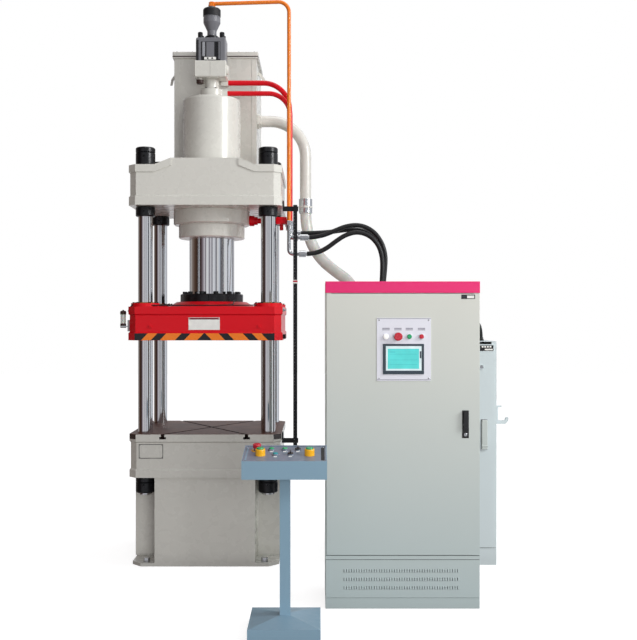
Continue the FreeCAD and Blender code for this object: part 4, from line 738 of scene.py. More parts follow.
def data_plate(name, low, high, y, body, finishes, rim, band=0.0):
    """A bare plate with a raised border, a pin at each corner and perhaps a band along its top."""
    shape = bmesh.new()
    add_box(shape, (low[0], y - 1.2 * MM, low[1]), (high[0], y, high[1]), 0.5 * MM, 0)
    for a, b in (((low[0], low[1]), (high[0], low[1] + rim)), ((low[0], high[1] - rim), (high[0], high[1])),
                 ((low[0], low[1] + rim), (low[0] + rim, high[1] - rim)),
                 ((high[0] - rim, low[1] + rim), (high[0], high[1] - rim))):
        add_box(shape, (a[0], y - 1.9 * MM, a[1]), (b[0], y - 1.1 * MM, b[1]), 0.3 * MM, 1)
    if band:
        add_box(shape, (low[0] + rim, y - 1.6 * MM, high[1] - rim - band),
                (high[0] - rim, y - 1.1 * MM, high[1] - rim), 0.2 * MM, 2)
    for x in (low[0] + 7 * MM, high[0] - 7 * MM):
        for z in (low[1] + 7 * MM, high[1] - 7 * MM):
            add_lathe(shape, [(0, 0), (2.2 * MM, 0), (1.8 * MM, 1.4 * MM), (0, 1.9 * MM)],
                      facing(x, y - 1.1 * MM, z, FRONT), 12, 1)
    return piece(name, done(shape, name), finishes, body)


# heights are over the platen's top face
OIL_LINES = {
    "oil_line_front": [
        (-478, -330, -30), (-460, -330, 12), (-430, -345, 12), (-300, -352, 8), (-50, -352, 8),
        (200, -352, 8), (310, -345, 10), (335, -310, 12)],
    "oil_line_rear": [
        (-400, -352, 8), (-235, -345, 8), (-225, -300, 22), (-275, -100, 6), (-290, 100, 6),
        (-300, 220, 10), (-325, 255, 14)],
    "oil_line_centre": [
        (50, -352, 8), (120, -345, 10), (155, -310, 10), (170, -260, 22), (160, -215, 40)],
}
OIL_CUP = (
    ("oil_cup_base", "brown_nylon", [(0, 0), (16, 0), (18, 3), (18, 26), (0, 26)]),
    ("oil_cup_bowl", "vinyl_tube", [(14, 26), (16, 27), (16, 82), (14, 83)]),
    ("oil_cup_oil", "amber_acrylic", [(0, 26.5), (13.5, 26.5), (13.5, 58), (0, 58)]),
    ("oil_cup_cap", "brown_nylon", [(0, 82), (18, 82), (18.5, 98), (15, 104), (6, 105), (5, 110), (0, 110)]),
)
COLUMN_X, COLUMN_Y = 0.38, 0.28                   # from the ram's axis to a column's
FACE_INSET = 8 * MM                               # how far a name plate's pocket lies behind a front


class PRESS_OT_platen_trim(bpy.types.Operator):
    """Chevrons, bare plate, oil lines, oil cup and the right-hand fitting of the platen"""
    bl_idname = "press.platen_trim"
    bl_label = "Platen trim"

    def execute(self, context):
        sizes = context.scene.press_sizes
        low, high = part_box("platen")
        face = low.y
        inset = 47 * MM
        chevrons("hazard_band", low.x + inset, high.x - inset, low.z + 1 * MM, low.z + 43 * MM,
                 face - 0.8 * MM, 0.7 * MM, "ram")
        data_plate("platen_plate", (-0.098, 1.440), (0.092, 1.516), face + FACE_INSET, "ram",
                   ["white_nylon", "white_nylon", "maroon_nylon"], 2 * MM, 11 * MM)
        top = low.z + 206 * MM
        for name, points in OIL_LINES.items():
            route = [(x * MM, y * MM, top + z * MM) for x, y, z in points]
            curve_piece(name, route, sizes.line_size / 2, "black_nylon", "ram", sides=4)
        self.oil_cup(low)
        side = high.x
        profile = [(0, 0), (11, 0), (11, 6), (8, 7), (8, 15), (5, 16), (5, 24), (0, 24)]
        turned_piece("platen_side_fitting", profile, facing(side - 1 * MM, -0.33, 1.562, RIGHT),
                     "zinc_plate", "ram", 24)
        boxes_piece("platen_striker", [((side - 0.001, -0.30, 1.384), (side + 0.018, -0.262, 1.412), 0)],
                    "black_oxide", "ram", 2)
        lugs = [((x - 0.009, -0.4, 1.452), (x + 0.009, -0.392, 1.47), 0) for x in (-0.33, 0.33)]
        boxes_piece("lifting_lugs", lugs, "red_enamel", "ram", 2)
        bolt = socket_bolt("ear_bolt", 6, 7)
        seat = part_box("platen_bushes")[1].z - 5.2 * MM
        for depth, y in (("front", -COLUMN_Y), ("rear", COLUMN_Y)):
            for hand, x in (("left", -COLUMN_X), ("right", COLUMN_X)):
                repeat("bush_bolts_%s_%s" % (depth, hand), bolt, "black_oxide", "ram", facing(x, y, seat),
                       ring=(6, 0.075))
        return {"FINISHED"}

    def oil_cup(self, low):
        """A gravity lubricator: a bracket, a dark base, a clear bowl and a brown cap."""
        spot = facing(low.x - 0.036, -0.33, 1.452)
        for name, finish_name, profile in OIL_CUP:
            turned_piece(name, profile, spot, finish_name, "ram", 32)
        boxes_piece("oil_cup_bracket", [((low.x - 0.05, -0.352, 1.457), (low.x + 0.001, -0.308, 1.464), 0),
                                        ((low.x - 0.006, -0.352, 1.43), (low.x + 0.0002, -0.308, 1.50), 0)],
                    "zinc_plate", "ram", 1)


class PRESS_OT_frame_trim(bpy.types.Operator):
    """Bed plate, anchor bolts and the weld seams of the base"""
    bl_idname = "press.frame_trim"
    bl_label = "Frame trim"

    def execute(self, context):
        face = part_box("bed_table")[0].y
        data_plate("bed_plate", (-0.400, 0.658), (-0.253, 0.745), face + FACE_INSET, "root",
                   ["cream_enamel", "gasket_black"], 3.5 * MM)
        anchor = hex_bolt("anchor_bolt", 36, 24)
        plate = 20 * MM
        for hand, x in (("left", -0.361), ("right", 0.361)):
            for depth, y in (("front", -0.338), ("rear", 0.338)):
                repeat("anchor_bolt_%s_%s" % (hand, depth), anchor, "zinc_plate", "root", facing(x, y, plate),
                       grid=(1, 1, 0.0, 0.0))
        seams = bmesh.new()
        radius, top = 7 * MM, 0.54
        for x in (-0.306, 0.306):
            for y in (-0.18, 0.18):
                add_lathe(seams, [(0, plate), (radius, plate), (radius, top), (0, top)], facing(x, y, 0), 10)
        for x in (-0.306, 0.306):
            add_box(seams, (x - 0.15, -0.186, plate), (x + 0.15, -0.179, plate + radius), 2.5 * MM)
        piece("base_welds", done(seams, "base_welds"), "cream_enamel", "root")
        return {"FINISHED"}


class PRESS_OT_head_gear(bpy.types.Operator):
    """Bolts, window, nut, caps and joint line of the valves over the cylinder"""
    bl_idname = "press.head_gear"
    bl_label = "Valve gear over the cylinder"

    def execute(self, context):
        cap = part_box("cylinder_barrel")[1].z + 67 * MM
        repeat("cap_bolts", socket_bolt("cap_bolt", 6, 7), "black_oxide", "root",
               facing(0, 0, cap - 0.3 * MM), ring=(6, 0.0605))
        block_low, block_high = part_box("prefill_valve_block")
        valve_low, valve_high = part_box("pilot_valve")
        front = valve_low.y
        sill = valve_low.z + 10 * MM
        # finish 2, the zinc strip on the window's left, is a painted highlight on the light-grey cylinder there
        field = [((-44.8, -7.9, 30.2), (44.8, -0.2, 113.8), 0), ((-62, -0.4, 0), (62, 1.2, 122), 0),
                 ((-54, 1.2, 26), (-36, 6, 118), 2), ((-28, 1.2, 24), (22, 5, 118), 4),
                 ((30, 1.2, 24), (46, 3, 118), 1), ((50, 1.2, 8), (58, 5, 118), 4), ((-42, 1.2, 4), (34, 6, 21), 3)]
        boxes_piece("valve_window", [((low[0] * MM, front - high[1] * MM, sill + low[2] * MM),
                                      (high[0] * MM, front - low[1] * MM, sill + high[2] * MM), index)
                                     for low, high, index in field],
                    ["gasket_black", "black_oxide", "zinc_plate", "white_nylon", "valve_casting"], "root", 0.6)
        for side, x in (("left", -0.018), ("right", 0.010)):
            turned_piece("valve_window_pin_" + side, [(0, 0), (5.5, 0), (5.5, 2), (0, 2)],
                         facing(x, front - 5.8 * MM, sill + 0.0125, FRONT), "gasket_black", "root", 16)
        boxes_piece("valve_side_strip", [((valve_low.x - 0.4 * MM, front - 1.4 * MM, valve_low.z + 4 * MM),
                                          (valve_low.x + 17 * MM, front + 1 * MM, valve_high.z - 38 * MM), 0)],
                    "gasket_black", "root", 0.8)
        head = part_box("pilot_solenoid")[0].z
        cover = socket_bolt("valve_cover_bolt", 16, 37)
        repeat("valve_cover_bolts", cover, "black_oxide", "root", facing(0, 0, head + 0.2 * MM),
               grid=(2, 2, 0.14, 0.08))
        turned_piece("solenoid_foot_nut", [(30.3, 0), (46, 0), (49, 4), (49, 14), (40, 22), (30.3, 22)],
                     facing(0, 0, head + 0.2 * MM), "black_oxide", "root", 40)
        profile = [(55.2, 150), (57, 151), (57, 193), (51, 201), (22, 202), (22, 200.2), (50, 199.5),
                   (55.2, 193)]
        turned_piece("solenoid_cap", profile, facing(0, 0, head), "gasket_black", "root")
        turned_piece("block_drain_cap", [(0, -24), (17, -24), (23, -18), (23, 0.5), (0, 0.5)],
                     facing(-0.07, -0.06, block_low.z + 14 * MM), "brown_nylon", "root", 32)
        boxes_piece("block_joint", [((-0.6 * MM, block_low.y - 0.25 * MM, block_high.z - 92 * MM),
                                     (0.6 * MM, block_low.y + 1 * MM, block_high.z - 8 * MM), 0)],
                    "brown_nylon", "root", 0.1)
        return {"FINISHED"}


def union(name, matrix, pipe_mm, finish_name):
    """A compression union: a hexagon nut and its collar round a pipe, along local Z."""
    shape = bmesh.new()
    inner = (pipe_mm + 0.4) * MM
    across = (pipe_mm * 2 + 15) * MM
    for low, high, width in ((0, 16, across), (19, 30, across * 0.9)):
        outer = width / math.sqrt(3)
        add_lathe(shape, [(inner, low * MM), (outer * 0.93, low * MM), (outer, (low + 1.5) * MM),
                          (outer, (high - 1.5) * MM), (outer * 0.93, high * MM), (inner, high * MM)],
                  matrix, 6, 0, False)
    collar, start, end = inner + 4 * MM, 15 * MM, 20 * MM
    add_lathe(shape, [(inner, start), (collar, start), (collar, end), (inner, end)], matrix, 32)
    return piece(name, done(shape, name), finish_name, "root")


class PRESS_OT_pipe_unions(bpy.types.Operator):
    """Union nuts at the ends of the rigid pipes"""
    bl_idname = "press.pipe_unions"
    bl_label = "Pipe unions"

    def execute(self, context):
        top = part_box("hose_elbows")[1].z
        for name, x, y, size in (("pilot", 0.502, -0.045, 12.5), ("upper", 0.502, 0.045, 17),
                                 ("lower", 0.508, 0, 16)):
            union("elbow_union_" + name, facing(x, y, top - 0.5 * MM), size, "zinc_plate")
        union("tank_union", facing(0.275, 0.3, 2.851, RIGHT), 38, "cream_enamel")
        union("pilot_union", facing(0, 0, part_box("pilot_solenoid")[1].z - 0.3 * MM), 12.5, "orange_enamel")
        return {"FINISHED"}


PRESS_HOSES = {
    "press_hose_upper": [
        (576, 45, 2066), (730, 45, 2069), (880, 44, 2092), (985, 44, 2087), (1065, 43, 2035),
        (1108, 42, 1945), (1112, 42, 1840), (1100, 43, 1640), (1094, 44, 1340), (1098, 45, 1030),
        (1095, 45, 712)],
    "press_hose_middle": [
        (632, 0, 2036), (705, 0, 2042), (790, 0, 2076), (875, 1, 2112), (965, 1, 2118),
        (1047, 1, 2080), (1102, 0, 2008), (1128, 0, 1922), (1124, 0, 1828), (1106, 1, 1660),
        (1098, 1, 1360), (1094, 0, 1030), (1095, 0, 712)],
    "press_hose_lower": [
        (617, -45, 1926), (676, -45, 1930), (742, -45, 1960), (802, -45, 2006), (864, -44, 2048),
        (942, -43, 2070), (1022, -42, 2046), (1080, -42, 1984), (1104, -42, 1902),
        (1104, -43, 1812), (1094, -44, 1640), (1088, -45, 1340), (1092, -45, 1030),
        (1095, -45, 712)],
}
HOSE_LENGTHS = {"press_hose_upper": 1.834, "press_hose_middle": 1.823, "press_hose_lower": 1.800}
SUCTION_ROUTE = [
    (604, 300, 2296), (604, 300, 2190), (621, 299, 2082), (660, 296, 1985), (722, 288, 1898),
    (805, 272, 1830), (890, 240, 1768), (950, 190, 1670), (980, 110, 1530), (985, 10, 1370),
    (968, -70, 1190), (950, -105, 1010), (945, -112, 825), (945, -112, 640)]
SUCTION_LENGTH = 1.869
CONDUIT_ROUTE = [
    (1722, -150, 1369), (1722, -150, 1428), (1700, -188, 1479), (1655, -250, 1505),
    (1612, -318, 1506), (1575, -395, 1490), (1542, -480, 1468), (1515, -570, 1448),
    (1495, -665, 1434), (1484, -755, 1426), (1480, -836, 1424)]
CONDUIT_LENGTH = 0.823


class PRESS_OT_hoses(bpy.types.Operator):
    """The three pressure hoses, the clear suction hose and the cabinet conduit"""
    bl_idname = "press.hoses"
    bl_label = "Hoses and conduit"

    def execute(self, context):
        rows = [(name, points, HOSE_LENGTHS[name], 15, "hose_rubber", "stiff")
                for name, points in PRESS_HOSES.items()]
        rows.append(("suction_hose", SUCTION_ROUTE, SUCTION_LENGTH, 38, "vinyl_tube", "limp"))
        rows.append(("cabinet_conduit", CONDUIT_ROUTE, CONDUIT_LENGTH, 11, "black_nylon", "medium"))
        for name, route, length, radius, finish_name, stiffness in rows:
            points = [[value * MM for value in point] for point in route]
            item = curve_piece(name + "_line", points, radius * MM, finish_name, "root")
            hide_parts(name)
        for name, point, lift in (("top", SUCTION_ROUTE[0], -30), ("low", SUCTION_ROUTE[-1], 30)):
            x, y, z = point
            hose_clip("suction_clip_" + name, facing(x * MM, y * MM, (z + lift) * MM), 45.5)
        return {"FINISHED"}


def hose_clip(name, matrix, radius_mm):
    """A worm-drive hose clip: a band with a screw housing on its side."""
    shape = bmesh.new()
    r = radius_mm * MM
    add_lathe(shape, [(r, -6 * MM), (r + 1.2 * MM, -6 * MM), (r + 1.2 * MM, 6 * MM), (r, 6 * MM)], matrix, 48)
    housing = matrix @ Vector((0, -r - 5 * MM, 0))
    add_box(shape, housing - Vector((11, 5, 7)) * MM, housing + Vector((11, 5, 7)) * MM, 2 * MM)
    return piece(name, done(shape, name), "cream_enamel", "root")


class PRESS_OT_position_scale(bpy.types.Operator):
    """Divisions and the sensor slider of the position scale"""
    bl_idname = "press.position_scale"
    bl_label = "Position scale"

    def execute(self, context):
        sizes = context.scene.press_sizes
        bar_low, bar_high, centre = 0.69, 2.213, 0.548
        face = -0.286
        tick = bmesh.new()
        add_box(tick, (-4 * MM, -0.25 * MM, -0.6 * MM), (4 * MM, 0.25 * MM, 0.6 * MM))
        rows = int((bar_high - bar_low - 0.06) / sizes.tick_step)
        middle = bar_low + 0.03 + (rows - 1) * sizes.tick_step / 2
        repeat("scale_divisions", done(tick, "tick"), "white_nylon", "root",
               facing(centre - 6 * MM, face - 0.1 * MM, middle, FRONT), grid=(1, rows, 0.0, sizes.tick_step))
        boxes_piece("scale_slider", [
            ((centre - 0.0145, face - 0.006, 1.726 + start), (centre + 0.0145, face + 0.0145, 1.726 + end), n)
            for start, end, n in ((0.0, 0.008, 0), (0.008, 0.018, 1), (0.018, 0.022, 0))],
            ["white_nylon", "red_nylon"], "root", 1)
        return {"FINISHED"}


class PRESS_OT_tank_trim(bpy.types.Operator):
    """Lid bolts, corner angles, gasket with painted shade under the lid, level gauge and drain plug of the oil tank
    """
    bl_idname = "press.tank_trim"
    bl_label = "Oil tank trim"

    def execute(self, context):
        low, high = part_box("tank_lid")
        lid_top = low.z + 31 * MM
        front, rear = low.y, high.y
        bolt = hex_bolt("lid_bolt", 13, 4)
        middle = (front + rear) / 2
        for side, x, y, grid in (("front", 0, front + 0.018, (6, 1, 0.104, 0.0)),
                                 ("rear", 0, rear - 0.018, (6, 1, 0.104, 0.0)),
                                 ("left", -0.269, middle, (1, 5, 0.0, 0.096)),
                                 ("right", 0.269, middle, (1, 5, 0.0, 0.096))):
            repeat("lid_bolts_" + side, bolt, "zinc_plate", "root", facing(x, y, lid_top), grid=grid)
        tank_front, tank_rear = 0.215, 0.715
        boxes = []
        for x in (-0.2765, 0.2765):
            for y in (tank_front - 0.0015, tank_rear + 0.0015):
                inner = 0.034 if x < 0 else -0.034
                left, right = sorted((x, x + inner))
                boxes.append(((left, y - 0.0015, 2.505), (right, y + 0.0015, 3.25), 0))
        boxes_piece("tank_corner_angles", boxes, "cream_enamel", "root", 1.2)
        rim = 3.269
        # the brown band reaches 5 mm below the rim, further than the gasket, so it also stands for painted shade
        # under the lid's edge
        boxes_piece("lid_gasket", [((low.x - 0.4 * MM, front - 0.4 * MM, rim - 5 * MM),
                                    (high.x + 0.4 * MM, rear + 0.4 * MM, rim + 1.5 * MM), 0)],
                    "brown_nylon", "root", 0.3)
        boxes_piece("level_gauge", [((-0.150, tank_rear, 2.78), (-0.118, tank_rear + 0.016, 2.81), 0),
                                    ((-0.150, tank_rear, 3.00), (-0.118, tank_rear + 0.016, 3.03), 0),
                                    ((-0.144, tank_rear, 2.81), (-0.124, tank_rear + 0.011, 3.00), 1)],
                    ["zinc_plate", "vinyl_tube"], "root", 2)
        turned_piece("tank_drain_plug", [(0, 0), (16, 0), (16, 8), (11, 9), (11, 20), (0, 20)],
                     facing(0.15, tank_rear - 0.5 * MM, 2.56, Matrix.Rotation(-math.pi / 2, 4, "X")),
                     "zinc_plate", "root", 6)
        return {"FINISHED"}


class PRESS_OT_main_cabinet(bpy.types.Operator):
    """Header, louvres, badge, lock, screen and inner gear of the main cabinet"""
    bl_idname = "press.main_cabinet"
    bl_label = "Main cabinet"

    def execute(self, context):
        sizes = context.scene.press_sizes
        low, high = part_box("cabinet_shell")
        face = low.y
        boxes_piece("header_cover", [((low.x - 0.6 * MM, face - 1.5 * MM, 1.6405),
                                      (high.x + 0.6 * MM, face + 0.012, 1.7006), 0)],
                    "header_enamel", "root", 1.4)
        badge = face - 0.8 * MM
        boxes_piece("cabinet_badge", [((1.433, badge, 1.609), (1.505, face + 0.8 * MM, 1.632), 0),
                                      ((1.463, badge - 0.5 * MM, 1.613), (1.500, badge + 0.3 * MM, 1.627), 1),
                                      ((1.438, badge - 0.4 * MM, 1.618), (1.458, badge + 0.3 * MM, 1.622), 2)],
                    ["black_nylon", "white_nylon", "grey_nylon"], "main_door", 0.4)
        louvre = bmesh.new()
        half, tall, deep = 3.4 * MM, sizes.louvre_height / 2, 2.6 * MM
        spans = [(-tall, 0.0), (-tall * 0.8, 1.0), (tall * 0.8, 1.0), (tall, 0.0)]
        section = ((-half, 0.0), (-half * 0.4, deep), (half * 0.7, deep * 0.5), (half, 0.0))
        rings = [[louvre.verts.new((x, up, z * share)) for x, z in section] for up, share in spans]
        for lower, upper in zip(rings, rings[1:]):
            for n in range(3):
                louvre.faces.new([lower[n], lower[n + 1], upper[n + 1], upper[n]])
            louvre.faces.new([lower[3], lower[0], upper[0], upper[3]])
        for ring in (rings[0], rings[-1]):
            louvre.faces.new(ring)
        vents, grid = facing(1.123, face - 0.1 * MM, 0.154, FRONT), (46, 3, sizes.louvre_pitch, 44 * MM)
        repeat("vent_louvres", done(louvre, "louvre"), "cabinet_coat", "root", vents, grid=grid)
        # painted shade: a thin black strip beside each louvre stands for the dark opening behind it, as the door
        # has no hole there
        slot = bmesh.new()
        add_box(slot, (-half * 1.5, -tall * 0.86, 0), (-half * 0.95, tall * 0.86, 0.5 * MM))
        repeat("vent_slots", done(slot, "slot"), "gasket_black", "root", vents, grid=grid)
        seam = [((low.x + 2 * MM, face + 1.2 * MM, z), (high.x - 2 * MM, face + 2.6 * MM, z + 2 * MM), 0)
                for z in (0.2545, 0.2757)]
        boxes_piece("cabinet_seams", seam, "gasket_black", "root", 0.3)
        boxes_piece("cabinet_plinth", [((low.x + 1 * MM, face + 3 * MM, 0.002),
                                        (high.x - 1 * MM, face + 9 * MM, 0.057), 0)],
                    "cabinet_coat", "root", 1)
        self.lock(face)
        self.panel(face)
        self.inside(low, high)
        return {"FINISHED"}

    def lock(self, face):
        """The lever's housing and its key cylinder."""
        boxes_piece("lever_housing", [((1.4375, face - 2.5 * MM, 0.887), (1.4725, face + 0.5 * MM, 1.031), 0)],
                    "black_nylon", "main_door", 2)
        turned_piece("lever_key", [(0, 0), (9, 0), (9, 3), (7.5, 4), (0, 4)],
                     facing(1.455, face - 2.2 * MM, 0.905, FRONT), "zinc_plate", "main_door", 32)

    def panel(self, face):
        """Screws, label fields, bezel and screen."""
        sheet = face - 3 * MM
        repeat("panel_screws", screw_head("panel_screw", 4), "zinc_plate", "main_door",
               facing(1.135, sheet - 0.2 * MM, 1.348, FRONT), grid=(2, 2, 0.256, 0.302))
        labels = [((x - 0.019, sheet - 0.7 * MM, z), (x + 0.019, sheet + 0.2 * MM, z + tall), 0)
                  for x in (1.042, 1.104, 1.163, 1.226) for z, tall in ((1.447, 0.004), (1.454, 0.005))]
        boxes_piece("panel_labels", labels, "label_grey", "main_door", 0.2)
        edge = [((0.995, sheet - 0.6 * MM, z), (1.275, sheet + 0.2 * MM, z + 0.003), 0) for z in (1.189, 1.506)]
        boxes_piece("panel_edge_lines", edge, "label_grey", "main_door", 0.1)
        front = sheet - 6 * MM
        sides = ((1.026, 1.219, 1.239, 1.2375), (1.026, 1.365, 1.239, 1.376),
                 (1.026, 1.2375, 1.0415, 1.365), (1.2265, 1.2375, 1.239, 1.365))
        boxes_piece("screen_bezel", [((left, front - 1 * MM, low), (right, front + 5.5 * MM, high), 0)
                                     for left, low, right, high in sides], "bezel_nylon", "main_door", 1.2)
        lit = front + 0.4 * MM
        boxes = [((1.0415, lit - 0.2 * MM, 1.2375), (1.2265, lit + 1 * MM, 1.365), 1),
                 ((1.051, lit - 0.5 * MM, 1.247), (1.213, lit, 1.351), 0),
                 ((1.217, lit - 0.6 * MM, 1.302), (1.225, lit, 1.338), 2)]
        for row, tall in ((1.332, 4), (1.322, 2), (1.292, 2), (1.268, 2)):
            right = 1.090 if tall > 2 else 1.204
            boxes.append(((1.060, lit - 0.6 * MM, row), (right, lit - 0.2 * MM, row + tall * MM), 3))
        boxes_piece("screen_field", boxes, ["screen_field", "screen_white", "bezel_nylon", "screen_deep"],
                    "main_door", 0)
        turned_piece("panel_lamp_lens", [(0, 9.2), (9, 8.8), (13.5, 6), (14.5, 0), (0, 0)],
                     facing(1.042, sheet - 6 * MM, 1.414, FRONT), "lamp_white", "main_door", 32)

    def inside(self, low, high):
        """The mounting plate with its rails, contactors, controller and ducts."""
        back = high.y - 0.02
        boxes = [((low.x + 0.05, back, 0.12), (high.x - 0.05, back + 0.004, 1.62), 0)]
        for z in (0.34, 0.72, 1.08, 1.45):
            boxes.append(((low.x + 0.07, back - 0.045, z - 0.02), (high.x - 0.07, back, z + 0.02), 1))
        for x in (low.x + 0.06, high.x - 0.1):
            boxes.append(((x, back - 0.045, 0.16), (x + 0.04, back, 1.58), 1))
        for n in range(7):
            x = low.x + 0.13 + 0.075 * n
            boxes.append(((x, back - 0.09, 0.84), (x + 0.06, back, 0.93), 2))
            boxes.append(((x + 0.01, back - 0.105, 0.86), (x + 0.05, back - 0.088, 0.91), 3))
        for n in range(4):
            x = low.x + 0.13 + 0.13 * n
            boxes.append(((x, back - 0.10, 1.2), (x + 0.11, back, 1.33), 3 if n else 4))
        for n in range(24):
            x = low.x + 0.13 + 0.022 * n
            boxes.append(((x, back - 0.05, 0.5), (x + 0.019, back, 0.56), 5 if n % 6 == 5 else 3))
        boxes.append(((low.x + 0.14, back - 0.12, 0.18), (low.x + 0.34, back, 0.3), 2))
        boxes_piece("control_gear", boxes, ["zinc_plate", "grey_nylon", "black_nylon", "white_nylon", "blue_nylon",
                                            "green_nylon"], "root", 1)


class PRESS_OT_rear_cabinet(bpy.types.Operator):
    """Label, latch, lever housing, plinth seam and conduit gland of the rear cabinet"""
    bl_idname = "press.rear_cabinet"
    bl_label = "Rear cabinet"

    def execute(self, context):
        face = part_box("rear_cabinet_door")[0].y
        shell_low, shell_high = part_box("rear_cabinet_shell")
        marks = [((1.690 + 0.016 * n, face - 2.4 * MM, 1.331), (1.701 + 0.016 * n, face - 1.8 * MM, 1.341), 1)
                 for n in range(4)]
        boxes_piece("rear_label", [((1.680, face - 2 * MM, 1.311), (1.762, face + 0.5 * MM, 1.345), 0),
                                   ((1.708, face - 2.4 * MM, 1.315), (1.758, face - 1.8 * MM, 1.324), 1)] + marks,
                    ["black_nylon", "white_nylon"], "rear_door", 0.3)
        turned_piece("rear_latch", [(11, 0), (17, 0), (17, 4), (15, 6), (13, 6), (11, 4)],
                     facing(1.688, face + 0.2 * MM, 1.212, FRONT), "drive_cabinet_coat", "rear_door", 32)
        turned_piece("rear_latch_core", [(0, 0), (9, 0), (9, 3), (0, 3)],
                     facing(1.688, face + 0.2 * MM, 1.212, FRONT), "zinc_plate", "rear_door", 24)
        boxes_piece("rear_lever_housing", [((1.6865, face - 3 * MM, 0.707), (1.7255, face + 0.5 * MM, 0.894), 0)],
                    "zinc_plate", "rear_door", 2)
        boxes_piece("rear_plinth_seam", [((shell_low.x + 1 * MM, face + 5.2 * MM, 0.1045),
                                          (1.781, face + 6.5 * MM, 0.1065), 0)], "gasket_black", "root", 0.3)
        turned_piece("conduit_gland", [(11.3, 0), (17, 0), (17, 9), (14, 11), (14, 19), (12, 22), (11.3, 22)],
                     facing(1.722, -0.150, shell_high.z - 0.2 * MM), "black_nylon", "root", 12)
        return {"FINISHED"}


# where the desk's plain push-buttons stand
DESK_BUTTONS = [(0.464, -1.552), (0.529, -1.552), (0.592, -1.552), (0.487, -1.631), (0.558, -1.626)]


class PRESS_OT_desk(bpy.types.Operator):
    """Legend plates, screws, collars and gutters of the operator desk"""
    bl_idname = "press.desk"
    bl_label = "Operator desk"

    def execute(self, context):
        low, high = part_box("desk_box")
        slope = math.atan2(42, 250)
        tilt = Matrix.Rotation(slope, 4, "X")

        def panel_level(y):
            return (759 + 82 - 4) * MM + (y - low.y) * math.tan(slope)

        shape = bmesh.new()
        for x, button_y in DESK_BUTTONS:
            y = button_y - 26.5 * MM
            spot = facing(x, y, panel_level(y), tilt)
            before = set(shape.verts)
            add_box(shape, (-0.008, -0.006, -0.0002), (0.008, 0.006, 0.0016), 0.3 * MM)
            fresh = [v for v in shape.verts if v not in before]
            bmesh.ops.transform(shape, matrix=spot, verts=fresh)
        piece("desk_labels", done(shape, "desk_labels"), "white_nylon", "root")
        centre = facing(0.532, -1.614, panel_level(-1.614), tilt)
        repeat("desk_screws", screw_head("desk_screw", 3.5), "zinc_plate", "root", centre,
               grid=(2, 2, 0.366, 0.212))
        ring = bmesh.new()
        collars = [(0.394, -1.560, 16.2, 29, 1)] + [(x, y, 15.2, 17.5, 0) for x, y in DESK_BUTTONS]
        for x, y, inner, outer, index in collars:
            add_lathe(ring, [(inner * MM, 0), (outer * MM, 0), (outer * MM, 0.8 * MM), (inner * MM, 0.8 * MM)],
                      facing(x, y, panel_level(y), tilt), 32, index)
        piece("desk_rings", done(ring, "desk_rings"), ["zinc_plate", "yellow_nylon"], "root")
        left, right = low.x + 12 * MM, high.x - 12 * MM
        # the right gutter's black strip is painted shade in the gap along that edge; the left one keeps the desk's
        # coat
        for name, x, across in (("left", left + 0.004, 0.008), ("right", right - 0.008, 0.016)):
            shape = bmesh.new()
            add_box(shape, (-across / 2, -0.098, -0.0002), (across / 2, 0.098, 0.0006), 0.2 * MM)
            piece("desk_gutter_" + name, done(shape, name, facing(x, -1.614, panel_level(-1.614), tilt)),
                  "gasket_black" if name == "right" else "desk_coat", "root")
        return {"FINISHED"}


class PRESS_OT_power_unit(bpy.types.Operator):
    """Motor ribs, bolts and pressure gauge of the power unit"""
    bl_idname = "press.power_unit"
    bl_label = "Power unit"

    def execute(self, context):
        axis_x, level = 0.945, 0.300
        rib = bmesh.new()
        add_box(rib, (0.122, -0.11, -1.6 * MM), (0.134, 0.11, 1.6 * MM), 1 * MM, 0, 1)
        bmesh.ops.rotate(rib, cent=(0, 0, 0), matrix=Matrix.Rotation(math.pi / 2, 3, "X"), verts=rib.verts)
        repeat("motor_ribs", done(rib, "rib"), "unit_enamel", "root",
               facing(axis_x, 0.135, level, FRONT), ring=(40, 0.0001))
        repeat("bell_bolts", socket_bolt("bell_bolt", 6, 7), "black_oxide", "root",
               facing(axis_x, -0.04, level, FRONT), ring=(8, 0.086))
        turned_piece("pressure_gauge", [(0, 0), (5, 0), (5, 26), (31, 28), (34, 31), (34, 46), (30, 49), (0, 49)],
                     facing(1.095, -0.139, 0.55, FRONT), "black_oxide", "root", 40)
        turned_piece("gauge_dial", [(0, 0), (29, 0), (29, 0.6), (0, 0.6)], facing(1.095, -0.1878, 0.55, FRONT),
                     "white_nylon", "root", 40)
        return {"FINISHED"}


